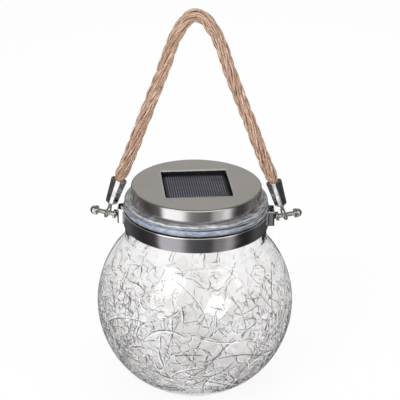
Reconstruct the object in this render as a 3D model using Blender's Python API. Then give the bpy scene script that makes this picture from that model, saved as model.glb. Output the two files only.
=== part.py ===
"""Solar jar lantern: a crackle-glass globe jar with a steel neck band, a rope
handle on two bolts, and a screw lid that holds a solar panel and a lamp.

Metres, +Z up. The origin is the centre of the jar's flat base, X runs along
the two handle bolts, and the lid turns about Z.
"""
from math import acos, asin, atan2, ceil, copysign, cos, pi, radians, sin, sqrt, tan

import bmesh
import bpy
from mathutils import Matrix, Vector

# ---------------------------------------------------------------- sizes
FIT = 0.0003                 # gap that neighbouring pieces keep

# glass jar
GLOBE_RADIUS = 0.060
GLOBE_CENTRE_HEIGHT = 0.050  # above the flat base
GLASS_WALL = 0.0025
BASE_EDGE_RADIUS = 0.008
NECK_RADIUS = 0.0427
NECK_BLEND_RADIUS = 0.007
NECK_LENGTH = 0.0169         # straight part, up to the rim

# steel band round the neck, with a box-shaped lug for each bolt
BAND_HEIGHT = 0.0093
BAND_THICKNESS = 0.0006
LUG_WIDTH = 0.011
LUG_STANDOFF = 0.0034        # lug face beyond the band's outer face
LUG_CORNER_RADIUS = 0.0009

# clear threaded ring on the glass rim
COLLAR_PROUD = 0.0007        # beyond the glass neck
COLLAR_HEIGHT = 0.0065       # from the glass rim to the ledge
COLLAR_STEP = 0.0005         # the upper ridge is smaller by this
COLLAR_LOWER_SHARE = 0.62    # of the height, taken by the lower ridge
COLLAR_WALL = 0.0018
SPIGOT_LENGTH = 0.005        # reach of the ring into the glass neck
SLEEVE_HEIGHT = 0.0047       # threaded sleeve above the ledge

# thread between ring and lid
THREAD_PITCH = 0.003
THREAD_RIDGE = 0.0011        # height of a ridge
THREAD_ROOT_WIDTH = 0.0012
THREAD_CREST_WIDTH = 0.0006
THREAD_PLAY = 0.0004
COLLAR_THREAD_TURNS = 1.0
INSERT_THREAD_TURNS = 1.2

# lid
LID_INSET = 0.0045           # the lid's skirt stands in from the ring's edge by this
LID_SHEET = 0.0005
LID_EDGE_RADIUS = 0.0012
LID_TURN = radians(6.3)      # the window stands turned by this against X
WINDOW_SIDE = 0.0396
WINDOW_CORNER_RADIUS = 0.0008
FRAME_MARGIN = 0.0024        # raised frame round the window
FRAME_RISE = 0.0003
GASKET_THICKNESS = 0.001
GASKET_WIDTH = 0.0013
INSERT_WALL = 0.0012
INSERT_DISC = 0.0015
INSERT_LIFT = 0.0006         # insert's lower edge above the ledge

# solar cell in its tray
CELL_MARGIN = 0.001          # from the window's edge
CELL_CORNER_RADIUS = 0.0025
CELL_THICKNESS = 0.0012
CELL_RECESS = 0.0023         # below the top of the lid
POCKET_MARGIN = 0.0002       # the tray's pocket beyond the window's edge
TRAY_FLOOR = 0.0012

# lamp housing under the lid
CUP_CLEARANCE = 0.0033       # to the threaded ring round it
CUP_WALL = 0.0016
CUP_DEPTH = 0.019
COVER_THICKNESS = 0.0016
COVER_LIP_HEIGHT = 0.0015
COVER_LIP_WALL = 0.0012
BOSS_RADIUS = 0.0024
SCREW_SHANK_RADIUS = 0.00075
SCREW_HEAD_RADIUS = 0.0022
SCREW_HEAD_HEIGHT = 0.001
SCREW_LENGTH = 0.0065        # below the head
PILOT_DEPTH = 0.0075

BOARD_CLEARANCE = 0.0018     # to the screw bosses
BOARD_WIDTH = 0.022
BOARD_THICKNESS = 0.0016
BOARD_Y = -0.001
STANDOFF_HEIGHT = 0.001
STANDOFF_RADIUS = 0.0015
CHIP_SIZE = (0.0049, 0.0039, 0.0012)
CHIP_PLACE = (-0.009, -0.006)
COIL_RADIUS = 0.0025
COIL_HEIGHT = 0.004
COIL_PLACE = (0.009, -0.006)

BATTERY_RADIUS = 0.00525
BATTERY_LENGTH = 0.030
BATTERY_NUB_RADIUS = 0.0019
BATTERY_NUB_LENGTH = 0.0008
BATTERY_Y = 0.0095
SPRING_LENGTH = 0.0036
SPRING_BASE_RADIUS = 0.003
SPRING_TIP_RADIUS = 0.0018
SPRING_WIRE_RADIUS = 0.00035
SPRING_TURNS = 3
CONTACT_SIDE = 0.008
CONTACT_THICKNESS = 0.0004
CRADLE_WALL = 0.0012
CRADLE_HEIGHT = 0.008
CRADLE_SIDE_LENGTH = 0.020
CRADLE_SIDE_HEIGHT = 0.004

LED_RADIUS = 0.0025
LED_LENGTH = 0.0072          # below its flange
LED_FLANGE_RADIUS = 0.0029
LED_FLANGE_HEIGHT = 0.001
LED_LEG_WIDTH = 0.0005
LED_LEG_SPACING = 0.00254
LENS_RADIUS = 0.0065
LENS_WALL = 0.001
LENS_RIM_HEIGHT = 0.0015
LENS_DOME_SHARE = 0.85       # dome height over its radius

SWITCH_SIZE = (0.0085, 0.0036, 0.0034)
SWITCH_Y = -0.014
SWITCH_TRAVEL = 0.002
KNOB_LENGTH = 0.0018
KNOB_WIDTH = 0.0016
KNOB_REACH = 0.0018          # below the cover
KNOB_ROOT = 0.0015           # inside the switch

WIRE_RADIUS = 0.0005
WIRE_HOLE_RADIUS = 0.0009
WIRE_PLACES = {"wire_red": (-0.003, 0.006), "wire_black": (0.003, 0.006)}

# handle hardware
BOLT_RADIUS = 0.0015
BOLT_TILT = radians(12)      # the handle's pull tips the bolts up
BOLT_DROP = 0.0008           # bolt hole below the band's middle
BOLT_HOLE_PLAY = 0.0004
HEAD_RADIUS = 0.00275
HEAD_HEIGHT = 0.0015
NUT_FLATS = 0.0055
NUT_HEIGHT = 0.002
ACORN_REACH = 0.0118         # from the lug's face to the cap nut
ACORN_HEX_HEIGHT = 0.0023
ACORN_DOME_RADIUS = 0.0026
ACORN_BORE_DEPTH = 0.0032

# rope clamps
EYE_REACH = 0.006            # from the lug's face to the eye
EYE_HOLE_RADIUS = 0.003
EYE_RADIUS = 0.0039
EYE_THICKNESS = 0.0009
EYE_SLACK = 0.0009           # under the bolt, where the eye bears
EYE_TWIST = radians(22)
TONGUE_WIDTH = 0.005
CLAMP_LEAN = radians(18.1)
CLAMP_SIDE = 0.0077          # of the square sleeve, at its top
CLAMP_LOW_SIDE = 0.0061      # and at its shoulder
CLAMP_CORNER_RADIUS = 0.0016
CLAMP_WALL = 0.0005
CLAMP_TWIST = radians(21)    # of the sleeve against its eye
SHOULDER_START = 0.0064      # from the bolt's axis, along the clamp
SHOULDER_LENGTH = 0.001
CLAMP_FLOOR = 0.0085
CLAMP_TOP = 0.0231

# rope
ROPE_RADIUS = 0.004
ROPE_LEAN = -0.0012          # the arch stands off centre by this at its top
ROPE_STEP = 0.0055
# half of the arch above the clamp: distance from the middle, height above
# the bolts' axis, drawn for eyes that stand this far from the middle
ROPE_ROUTE_EYE = 0.053
ROPE_ROUTE = (
    (0.0438, 0.0268),
    (0.0394, 0.0371),
    (0.0318, 0.0572),
    (0.0241, 0.0770),
    (0.0187, 0.0914),
    (0.0156, 0.1010),
    (0.0120, 0.1101),
    (0.0090, 0.1155),
    (0.0048, 0.1208),
    (0.0000, 0.1228),
)

SIDES = {"left": -1, "right": 1}
GLOBE_SEGMENTS = 48
RING_SEGMENTS = 48
SMALL_SEGMENTS = 20

# ------------------------------------------------------- derived sizes
COLLAR_RADIUS = NECK_RADIUS + COLLAR_PROUD
LID_RADIUS = COLLAR_RADIUS - LID_INSET
CELL_SIDE = WINDOW_SIDE - 2 * CELL_MARGIN
POCKET_SIDE = WINDOW_SIDE + 2 * POCKET_MARGIN

NECK_START_Z = GLOBE_CENTRE_HEIGHT + sqrt(
    (GLOBE_RADIUS + NECK_BLEND_RADIUS) ** 2 - (NECK_RADIUS + NECK_BLEND_RADIUS) ** 2)
RIM_Z = NECK_START_Z + NECK_LENGTH
NECK_BORE = NECK_RADIUS - GLASS_WALL

BAND_INNER = NECK_RADIUS + FIT
BAND_OUTER = BAND_INNER + BAND_THICKNESS
BAND_Z = RIM_Z - BAND_HEIGHT
LUG_FACE = BAND_OUTER + LUG_STANDOFF
BOLT_Z = BAND_Z + BAND_HEIGHT / 2 - BOLT_DROP

COLLAR_Z = RIM_Z + FIT
LEDGE_Z = COLLAR_Z + COLLAR_HEIGHT
SLEEVE_TOP = LEDGE_Z + SLEEVE_HEIGHT

INSERT_OUTER = LID_RADIUS - LID_SHEET - FIT
INSERT_BORE = INSERT_OUTER - INSERT_WALL
SLEEVE_RADIUS = INSERT_BORE - THREAD_PLAY - THREAD_RIDGE
SLEEVE_BORE = SLEEVE_RADIUS - COLLAR_WALL
SPIGOT_RADIUS = NECK_BORE - FIT

INSERT_BOTTOM = LEDGE_Z + INSERT_LIFT
GASKET_Z = SLEEVE_TOP + FIT
DISC_Z = GASKET_Z + GASKET_THICKNESS + FIT
INSERT_TOP = DISC_Z + INSERT_DISC
LID_UNDER = INSERT_TOP + FIT
LID_TOP = LID_UNDER + LID_SHEET
SKIRT_Z = LEDGE_Z + FIT

CELL_Z = LID_TOP - CELL_RECESS - CELL_THICKNESS
TRAY_TOP = CELL_Z - FIT
CEILING_Z = TRAY_TOP - TRAY_FLOOR
CUP_RADIUS = SLEEVE_BORE - CUP_CLEARANCE
CUP_BORE = CUP_RADIUS - CUP_WALL
BOSS_CIRCLE = CUP_BORE - 2 * FIT - COVER_LIP_WALL - BOSS_RADIUS
BOARD_LENGTH = 2 * (BOSS_CIRCLE * cos(pi / 6) - BOSS_RADIUS - BOARD_CLEARANCE)
CUP_Z = DISC_Z - CUP_DEPTH
COVER_TOP = CUP_Z - FIT
COVER_Z = COVER_TOP - COVER_THICKNESS
BOARD_Z = CEILING_Z - STANDOFF_HEIGHT - FIT - BOARD_THICKNESS
BATTERY_Z = COVER_TOP + FIT + BATTERY_RADIUS

THREAD_MID_WIDTH = THREAD_CREST_WIDTH + (
    THREAD_ROOT_WIDTH - THREAD_CREST_WIDTH) * (1 - THREAD_PLAY / THREAD_RIDGE)
THREAD_OFFSET = (THREAD_MID_WIDTH + THREAD_CREST_WIDTH) / 2 + THREAD_PLAY
COLLAR_THREAD_Z = LEDGE_Z + THREAD_ROOT_WIDTH * 0.75

EYE_X = LUG_FACE + EYE_REACH
EYE_Z = BOLT_Z + EYE_REACH * tan(BOLT_TILT)
EYE_LIFT = EYE_HOLE_RADIUS - BOLT_RADIUS - EYE_SLACK


# ---------------------------------------------------------- materials
def material(name, colour, roughness, metallic=0.0, transmission=0.0, ior=1.45):
    made = bpy.data.materials.new(name)
    made.use_nodes = True
    made.diffuse_color = (*colour, 1.0)
    shader = made.node_tree.nodes["Principled BSDF"]
    shader.inputs["Base Color"].default_value = (*colour, 1.0)
    shader.inputs["Roughness"].default_value = roughness
    shader.inputs["Metallic"].default_value = metallic
    shader.inputs["Transmission Weight"].default_value = transmission
    shader.inputs["IOR"].default_value = ior
    return made


# ------------------------------------------------------ shape helpers
def polar(radius, angle, z):
    return Vector((radius * cos(angle), radius * sin(angle), z))


def arc(centre, radius, start, end, steps):
    """Points (r, z) of an arc in a profile, both ends included."""
    angles = [start + (end - start) * i / steps for i in range(steps + 1)]
    return [(centre[0] + radius * cos(a), centre[1] + radius * sin(a)) for a in angles]


def round_ring(radius, z, count):
    return [polar(radius, 2 * pi * i / count, z) for i in range(count)]


def rounded_square_ring(side, corner, z, count, turn=0.0):
    """A ring of points on a square with round corners, one on each ray."""
    half = side / 2
    flat = half - corner
    ring = []
    for i in range(count):
        angle = 2 * pi * i / count
        x, y = abs(cos(angle)), abs(sin(angle))
        reach = half / max(x, y)
        if reach * min(x, y) > flat:
            along = flat * (x + y)
            reach = along + sqrt(along ** 2 - 2 * flat ** 2 + corner ** 2)
        ring.append(polar(reach, angle + turn, z))
    return ring


def new_object(name, mesh, look, parent=None):
    made = bpy.data.objects.new(name, mesh)
    bpy.context.scene.collection.objects.link(made)
    if look is not None:
        mesh.materials.append(look)
    made.parent = parent
    return made


def finish_mesh(name, bm, look, parent=None, smooth=True):
    bmesh.ops.recalc_face_normals(bm, faces=bm.faces)
    mesh = bpy.data.meshes.new(name)
    bm.to_mesh(mesh)
    bm.free()
    if smooth:
        mesh.shade_smooth()
        mesh.set_sharp_from_angle(angle=radians(35))
    return new_object(name, mesh, look, parent)


def loft(name, rings, look, parent=None, wrap=False):
    """Skins a run of rings. The run closes on itself, or has flat ends."""
    bm = bmesh.new()
    rows = [[bm.verts.new(point) for point in ring] for ring in rings]
    pairs = list(zip(rows, rows[1:]))
    if wrap:
        pairs.append((rows[-1], rows[0]))
    else:
        bm.faces.new(rows[0])
        bm.faces.new(rows[-1])
    for low, high in pairs:
        for i in range(len(low)):
            j = (i + 1) % len(low)
            bm.faces.new((low[i], low[j], high[j], high[i]))
    return finish_mesh(name, bm, look, parent)


def turned(name, profile, look, parent=None, wrap=False, count=SMALL_SEGMENTS):
    """A piece turned about Z from its profile of (r, z) points."""
    return loft(name, [round_ring(r, z, count) for r, z in profile], look, parent, wrap)


def box(name, low, high, look, parent=None):
    bm = bmesh.new()
    size = [b - a for a, b in zip(low, high)]
    middle = [(a + b) / 2 for a, b in zip(low, high)]
    place = Matrix.Translation(middle) @ Matrix.Diagonal((*size, 1.0))
    bmesh.ops.create_cube(bm, size=1.0, matrix=place)
    return finish_mesh(name, bm, look, parent, smooth=False)


def combine(target, operation, tools):
    """Adds or cuts hidden tool shapes, which live beside the target."""
    for tool in tools:
        tool.parent = target.parent
        tool.hide_render = True
        tool.display_type = "WIRE"
        step = target.modifiers.new(tool.name, "BOOLEAN")
        step.operation = operation
        step.solver = "EXACT"
        step.object = tool
    return target


def rod(name, radius, low_z, high_z, x=0.0, y=0.0, count=SMALL_SEGMENTS):
    """A plain upright tool cylinder."""
    shape = turned(name, [(radius, low_z), (radius, high_z)], None, count=count)
    shape.data.transform(Matrix.Translation((x, y, 0)))
    return shape


def thread_ridge(name, wall, outward, start_z, start_turn, turns):
    """A helical ridge that rises with the angle and fades out at its ends.

    wall is the radius of the surface that carries it, outward is 1 on a
    sleeve and -1 in a bore, and the ridge's root lies inside that wall.
    """
    steps = ceil(turns * 40)
    fade = 4
    rings = []
    for i in range(steps + 1):
        turn = start_turn + turns * i / steps
        height = THREAD_RIDGE * min(1.0, (min(i, steps - i) + 0.3) / fade)
        width = THREAD_CREST_WIDTH
        root = wall - outward * FIT
        crest = wall + outward * height
        middle = start_z + THREAD_PITCH * (turn - start_turn)
        angle = 2 * pi * turn
        rings.append([
            polar(root, angle, middle - THREAD_ROOT_WIDTH / 2),
            polar(crest, angle, middle - width / 2),
            polar(crest, angle, middle + width / 2),
            polar(root, angle, middle + THREAD_ROOT_WIDTH / 2),
        ])
    return loft(name, rings, None)


def smooth_route(points, step):
    """Points spaced evenly on a smooth curve through the given points."""
    dense = []
    padded = [2 * points[0] - points[1], *points, 2 * points[-1] - points[-2]]
    for p0, p1, p2, p3 in zip(padded, padded[1:], padded[2:], padded[3:]):
        for i in range(16):
            t = i / 16
            dense.append(0.5 * (2 * p1 + (p2 - p0) * t
                                + (2 * p0 - 5 * p1 + 4 * p2 - p3) * t ** 2
                                + (3 * p1 - p0 - 3 * p2 + p3) * t ** 3))
    dense.append(points[-1])
    lengths = [0.0]
    for a, b in zip(dense, dense[1:]):
        lengths.append(lengths[-1] + (b - a).length)
    count = ceil(lengths[-1] / step)
    route = []
    index = 0
    for k in range(count + 1):
        goal = lengths[-1] * k / count
        while index < len(lengths) - 2 and lengths[index + 1] < goal:
            index += 1
        share = (goal - lengths[index]) / (lengths[index + 1] - lengths[index])
        route.append(dense[index].lerp(dense[index + 1], share))
    return route


def tube(name, points, radius, look, parent=None, sides=2, radii=None):
    """A round tube along a line of points."""
    curve = bpy.data.curves.new(name, "CURVE")
    curve.dimensions = "3D"
    curve.bevel_depth = radius
    curve.bevel_resolution = sides
    curve.use_fill_caps = True
    curve.render_resolution_u = 0
    line = curve.splines.new("POLY")
    line.points.add(len(points) - 1)
    for i, point in enumerate(points):
        line.points[i].co = (*point, 1.0)
        line.points[i].radius = radii[i] if radii else 1.0
    made = bpy.data.objects.new(name, curve)
    bpy.context.scene.collection.objects.link(made)
    curve.materials.append(look)
    made.parent = parent
    return made


def empty(name, place, turn=None):
    made = bpy.data.objects.new(name, None)
    bpy.context.scene.collection.objects.link(made)
    made.location = place
    if turn is not None:
        made.rotation_mode = "QUATERNION"
        made.rotation_quaternion = turn
    return made


# ----------------------------------------------------------- glass jar
def jar_skin(inset, globe_steps, bend_steps):
    """The jar's profile from the base to the rim, set in by the wall."""
    centre_z = GLOBE_CENTRE_HEIGHT
    edge_r = sqrt((GLOBE_RADIUS - BASE_EDGE_RADIUS) ** 2 - (centre_z - BASE_EDGE_RADIUS) ** 2)
    edge_angle = atan2(BASE_EDGE_RADIUS - centre_z, edge_r)
    blend_r = NECK_RADIUS + NECK_BLEND_RADIUS
    blend_angle = acos(blend_r / (GLOBE_RADIUS + NECK_BLEND_RADIUS))
    base = arc((edge_r, BASE_EDGE_RADIUS), BASE_EDGE_RADIUS - inset,
               -pi / 2, edge_angle, bend_steps)
    globe = arc((0, centre_z), GLOBE_RADIUS - inset, edge_angle, blend_angle, globe_steps)
    neck = arc((blend_r, NECK_START_Z), NECK_BLEND_RADIUS + inset,
               blend_angle + pi, pi, bend_steps)
    return base + globe[1:] + neck[1:] + [(NECK_RADIUS - inset, RIM_Z)]


def glass_globe():
    glass = material("crackle_glass", (0.93, 0.95, 0.95), 0.03, transmission=1.0, ior=1.5)
    profile = jar_skin(0.0, 12, 3) + jar_skin(GLASS_WALL, 9, 2)[::-1]
    return turned("glass_globe", profile, glass, count=GLOBE_SEGMENTS)


# ------------------------------------------------------ threaded ring
def neck_collar():
    clear = material("clear_plastic", (0.80, 0.85, 0.90), 0.15, transmission=0.9, ior=1.49)
    waist = COLLAR_Z + COLLAR_HEIGHT * COLLAR_LOWER_SHARE
    lower = (waist - COLLAR_Z) / 2
    upper = (LEDGE_Z - waist) / 2
    upper_r = COLLAR_RADIUS - COLLAR_STEP
    soft = 0.0007
    spigot_bore = SPIGOT_RADIUS - COLLAR_WALL
    profile = [(COLLAR_RADIUS - soft, COLLAR_Z)]
    profile += [
        (COLLAR_RADIUS - soft + soft * cos(a), COLLAR_Z + lower + lower * sin(a))
        for a in [radians(d) for d in (-60, -30, 0, 30, 60)]]
    profile += [
        (upper_r - soft + soft * cos(a), waist + upper + upper * sin(a))
        for a in [radians(d) for d in (-80, -40, 0, 40, 80)]]
    profile += [
        (upper_r - 2 * soft, LEDGE_Z),
        (SLEEVE_RADIUS, LEDGE_Z),
        (SLEEVE_RADIUS, SLEEVE_TOP),
        (SLEEVE_BORE, SLEEVE_TOP),
        (SLEEVE_BORE, LEDGE_Z - COLLAR_WALL),
        (spigot_bore, LEDGE_Z - 2 * COLLAR_WALL),
        (spigot_bore, RIM_Z - SPIGOT_LENGTH),
        (SPIGOT_RADIUS, RIM_Z - SPIGOT_LENGTH),
        (SPIGOT_RADIUS, COLLAR_Z),
    ]
    collar = turned("neck_collar", profile, clear, wrap=True, count=RING_SEGMENTS)
    ridge = thread_ridge("collar_thread", SLEEVE_RADIUS, 1, COLLAR_THREAD_Z, 0.0,
                         COLLAR_THREAD_TURNS)
    return combine(collar, "UNION", [ridge])


# ---------------------------------------------------------- neck band
def band_outline(radius, lug_half_width, face, corner):
    """Closed outline of the band with a lug at each end of X."""
    outline = []
    foot = asin(lug_half_width / radius)
    for start, side in ((0.0, 1), (pi, -1)):
        lug = [
            (face - corner, -lug_half_width),
            (face - corner * 0.3, -lug_half_width + corner * 0.3),
            (face, -lug_half_width + corner),
            (face, lug_half_width - corner),
            (face - corner * 0.3, lug_half_width - corner * 0.3),
            (face - corner, lug_half_width),
        ]
        outline += [(side * x, side * y) for x, y in lug]
        steps = 24
        for i in range(steps + 1):
            angle = start + foot + (pi - 2 * foot) * i / steps
            outline.append((radius * cos(angle), radius * sin(angle)))
    return outline


def neck_band():
    steel = material("brushed_steel", (0.56, 0.55, 0.54), 0.28, metallic=1.0)
    inner_corner = LUG_CORNER_RADIUS - BAND_THICKNESS
    outer = band_outline(BAND_OUTER, LUG_WIDTH / 2, LUG_FACE, LUG_CORNER_RADIUS)
    inner = band_outline(BAND_INNER, LUG_WIDTH / 2 - BAND_THICKNESS,
                         LUG_FACE - BAND_THICKNESS, inner_corner)
    rings = [[Vector((x, y, z)) for x, y in outline]
             for outline, z in ((outer, BAND_Z), (outer, RIM_Z), (inner, RIM_Z), (inner, BAND_Z))]
    band = loft("neck_band", rings, steel, wrap=True)
    holes = []
    for name, side in SIDES.items():
        hole = turned("bolt_hole_" + name, [(BOLT_RADIUS + BOLT_HOLE_PLAY, -BAND_OUTER / 8),
                                            (BOLT_RADIUS + BOLT_HOLE_PLAY, LUG_STANDOFF)], None)
        hole.data.transform(bolt_frame(side))
        holes.append(hole)
    return combine(band, "DIFFERENCE", holes)


# ------------------------------------------------- bolts and their nuts
def bolt_frame(side):
    """Bolt axis: origin in the lug's face, +Z outwards and tipped up."""
    out = Vector((side * cos(BOLT_TILT), 0, sin(BOLT_TILT)))
    across = Vector((0, 1, 0))
    up = out.cross(across)
    frame = Matrix((across, up, out)).transposed().to_4x4()
    return Matrix.Translation((side * LUG_FACE, 0, BOLT_Z)) @ frame


def hex_prism(name, flats, low, high, look):
    radius = flats / 2 / cos(pi / 6)
    bevel = flats * 0.06
    profile = [(radius - bevel, low), (radius, low + bevel * 0.6),
               (radius, high - bevel * 0.6), (radius - bevel, high)]
    return turned(name, profile, look, count=6)


def bolt_set(name, side, steel):
    """Bolt, inner nut and cap nut of one side, placed on the bolt's axis."""
    tip = sin(BOLT_TILT)
    head_top = -BAND_THICKNESS - FIT - HEAD_RADIUS * tip
    nut_low = FIT + NUT_FLATS / 2 * tip
    cap_low = ACORN_REACH
    bore = BOLT_RADIUS + FIT
    bolt_end = cap_low + ACORN_BORE_DEPTH - FIT
    soft = HEAD_HEIGHT * 0.35

    bolt = turned("bolt_" + name, [
        (HEAD_RADIUS - soft, head_top - HEAD_HEIGHT),
        (HEAD_RADIUS, head_top - HEAD_HEIGHT + soft),
        (HEAD_RADIUS, head_top),
        (BOLT_RADIUS, head_top),
        (BOLT_RADIUS, bolt_end - soft / 2),
        (BOLT_RADIUS - soft / 2, bolt_end),
    ], steel)

    nut = hex_prism("hex_nut_" + name, NUT_FLATS, nut_low, nut_low + NUT_HEIGHT, steel)
    nut_bore = rod("nut_bore_" + name, bore, nut_low - FIT, nut_low + NUT_HEIGHT + FIT)

    cap = hex_prism("acorn_nut_" + name, NUT_FLATS, cap_low, cap_low + ACORN_HEX_HEIGHT, steel)
    seat = cap_low + ACORN_HEX_HEIGHT
    dome_profile = [(ACORN_DOME_RADIUS, seat - ACORN_HEX_HEIGHT / 2)]
    dome_profile += arc((0, seat), ACORN_DOME_RADIUS, 0.0, radians(78), 6)
    dome = turned("acorn_dome_" + name, dome_profile, None)
    cap_bore = rod("acorn_bore_" + name, bore, cap_low - FIT, cap_low + ACORN_BORE_DEPTH)

    combine(cap, "UNION", [dome])
    combine(cap, "DIFFERENCE", [cap_bore])
    combine(nut, "DIFFERENCE", [nut_bore])
    for piece in (bolt, nut, nut_bore, cap, dome, cap_bore):
        piece.matrix_world = bolt_frame(side)


# -------------------------------------------------------------- handle
def tongue_ring(z, count):
    """A ring of points on the clamp's thin tongue, whose edges are round."""
    ring = []
    for i in range(count):
        x, y = cos(2 * pi * i / count), sin(2 * pi * i / count)
        ring.append(Vector((copysign(abs(x) ** 0.3, x) * EYE_THICKNESS / 2,
                            copysign(abs(y) ** 0.8, y) * TONGUE_WIDTH / 2, z)))
    return ring


def clamp_width(z):
    """Outer width of the clamp's square sleeve, which widens upwards."""
    low = SHOULDER_START + SHOULDER_LENGTH
    return CLAMP_LOW_SIDE + (CLAMP_SIDE - CLAMP_LOW_SIDE) * (z - low) / (CLAMP_TOP - low)


def sleeve_ring(z, side, inset, count):
    """A ring of points on the clamp's square sleeve."""
    return rounded_square_ring(clamp_width(z) - 2 * inset, CLAMP_CORNER_RADIUS - inset, z, count,
                               side * CLAMP_TWIST)


def rope_clamp(name, side, steel, pivot):
    shoulder = SHOULDER_START + SHOULDER_LENGTH
    count = 24
    rings = [
        tongue_ring(EYE_LIFT + EYE_HOLE_RADIUS, count),
        tongue_ring(SHOULDER_START, count),
        sleeve_ring(shoulder, side, 0.0, count),
        sleeve_ring(CLAMP_TOP, side, 0.0, count),
        sleeve_ring(CLAMP_TOP, side, CLAMP_WALL, count),
        sleeve_ring(CLAMP_FLOOR, side, CLAMP_WALL, count),
    ]
    clamp = loft("rope_clamp_" + name, rings, steel)
    lay_flat = Matrix.Rotation(pi / 2, 4, "Y")
    lift = Matrix.Translation((0, 0, EYE_LIFT))
    eye = rod("eye_" + name, EYE_RADIUS, -EYE_THICKNESS / 2, EYE_THICKNESS / 2, count=28)
    hole = rod("eye_hole_" + name, EYE_HOLE_RADIUS, -EYE_THICKNESS, EYE_THICKNESS, count=24)
    for tool in (eye, hole):
        tool.data.transform(lift @ lay_flat)
    clamp.parent = pivot
    combine(clamp, "UNION", [eye])
    combine(clamp, "DIFFERENCE", [hole])
    lean = Matrix.Rotation(-side * CLAMP_LEAN, 4, "Y")
    twist = Matrix.Rotation(side * EYE_TWIST, 4, "Z")
    for piece in (clamp, eye, hole):
        piece.matrix_local = Matrix.Translation((side * EYE_X, 0, 0)) @ lean @ twist


def rope_line(side):
    """Half of the rope's line, from its foot in the clamp to its top."""
    half = [(EYE_X - s * sin(CLAMP_LEAN), s * cos(CLAMP_LEAN))
            for s in (CLAMP_FLOOR + 2 * FIT, CLAMP_TOP + FIT)]
    low = half[-1][1]
    top = ROPE_ROUTE[-1][1]
    spread = EYE_X / ROPE_ROUTE_EYE
    half += [(x * spread, z) for x, z in ROPE_ROUTE]
    return [Vector((side * x + ROPE_LEAN * max(0.0, (z - low) / (top - low)), 0, z))
            for x, z in half]


def handle_rope(pivot):
    jute = material("jute_rope", (0.56, 0.36, 0.22), 0.9)
    right, left = rope_line(1), rope_line(-1)
    free = smooth_route(right[1:] + left[-2:0:-1], ROPE_STEP)
    points = [right[0], *free, left[0]]
    foot, top = [(clamp_width(s) / 2 - CLAMP_WALL - FIT) / ROPE_RADIUS
                 for s in (CLAMP_FLOOR, CLAMP_TOP)]
    radii = [foot, top] + [1.0] * (len(points) - 4) + [top, foot]
    return tube("handle_rope", points, ROPE_RADIUS, jute, pivot, radii=radii)


# ----------------------------------------------------------------- lid
def lid_cap(pivot):
    steel = material("lid_steel", (0.60, 0.59, 0.57), 0.25, metallic=1.0)
    count = RING_SEGMENTS
    outer, inner = LID_RADIUS, LID_RADIUS - LID_SHEET
    edge = LID_EDGE_RADIUS
    frame_side = WINDOW_SIDE + 2 * FRAME_MARGIN
    frame_foot = frame_side + 2 * FRAME_MARGIN / 2
    corner = WINDOW_CORNER_RADIUS
    rings = [round_ring(outer, SKIRT_Z, count)]
    rings += [round_ring(r, z, count) for r, z in
              arc((outer - edge, LID_TOP - edge), edge, 0.0, pi / 2, 4)]
    rings += [
        rounded_square_ring(frame_foot, corner + FRAME_MARGIN, LID_TOP, count),
        rounded_square_ring(frame_side, corner + FRAME_MARGIN / 2, LID_TOP + FRAME_RISE, count),
        rounded_square_ring(WINDOW_SIDE + LID_SHEET, corner + LID_SHEET / 2,
                            LID_TOP + FRAME_RISE, count),
        rounded_square_ring(WINDOW_SIDE, corner, LID_TOP, count),
        rounded_square_ring(WINDOW_SIDE, corner, LID_UNDER, count),
        round_ring(outer - edge, LID_UNDER, count),
        round_ring(inner, LID_TOP - edge, count),
        round_ring(inner, SKIRT_Z, count),
    ]
    return loft("lid_cap", rings, steel, pivot, wrap=True)


def lid_insert(pivot):
    black = material("black_plastic", (0.015, 0.015, 0.017), 0.4)
    count = RING_SEGMENTS
    corner = WINDOW_CORNER_RADIUS
    turned_part = [
        (INSERT_BORE, DISC_Z),
        (CUP_RADIUS, DISC_Z),
        (CUP_RADIUS, CUP_Z),
        (CUP_BORE, CUP_Z),
        (CUP_BORE, CEILING_Z),
    ]
    edge = LID_EDGE_RADIUS
    rings = [rounded_square_ring(POCKET_SIDE, corner, z, count) for z in (TRAY_TOP, INSERT_TOP)]
    rings += [round_ring(INSERT_OUTER - edge, INSERT_TOP, count)]
    rings += [round_ring(INSERT_OUTER, z, count) for z in (INSERT_TOP - edge, INSERT_BOTTOM)]
    rings += [round_ring(INSERT_BORE, INSERT_BOTTOM, count)]
    rings += [round_ring(r, z, count) for r, z in turned_part]
    insert = loft("lid_insert", rings, black, pivot)

    start_z = INSERT_BOTTOM + THREAD_ROOT_WIDTH * 0.75
    start_turn = (start_z - COLLAR_THREAD_Z + THREAD_OFFSET) / THREAD_PITCH
    ridge = thread_ridge("insert_thread", INSERT_BORE, -1, start_z,
                         start_turn - LID_TURN / (2 * pi), INSERT_THREAD_TURNS)
    bosses = [rod("boss_%d" % i, BOSS_RADIUS, CUP_Z, CEILING_Z + FIT, x, y, 16)
              for i, (x, y) in enumerate(boss_places())]
    standoffs = [rod("standoff_" + name, STANDOFF_RADIUS, CEILING_Z - STANDOFF_HEIGHT,
                     CEILING_Z + FIT, side * BOARD_LENGTH * 0.4, BOARD_Y, 12)
                 for name, side in SIDES.items()]
    pilots = [rod("pilot_%d" % i, SCREW_SHANK_RADIUS + FIT, CUP_Z - FIT, CUP_Z + PILOT_DEPTH,
                  x, y, 12) for i, (x, y) in enumerate(boss_places())]
    wire_holes = [rod("hole_" + name, WIRE_HOLE_RADIUS, CEILING_Z - FIT, TRAY_TOP + FIT, x, y, 12)
                  for name, (x, y) in WIRE_PLACES.items()]
    combine(insert, "UNION", [ridge] + bosses + standoffs)
    return combine(insert, "DIFFERENCE", pilots + wire_holes)


def boss_places():
    angles = [radians(90 + 120 * i) for i in range(3)]
    return [(BOSS_CIRCLE * cos(a), BOSS_CIRCLE * sin(a)) for a in angles]


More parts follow.
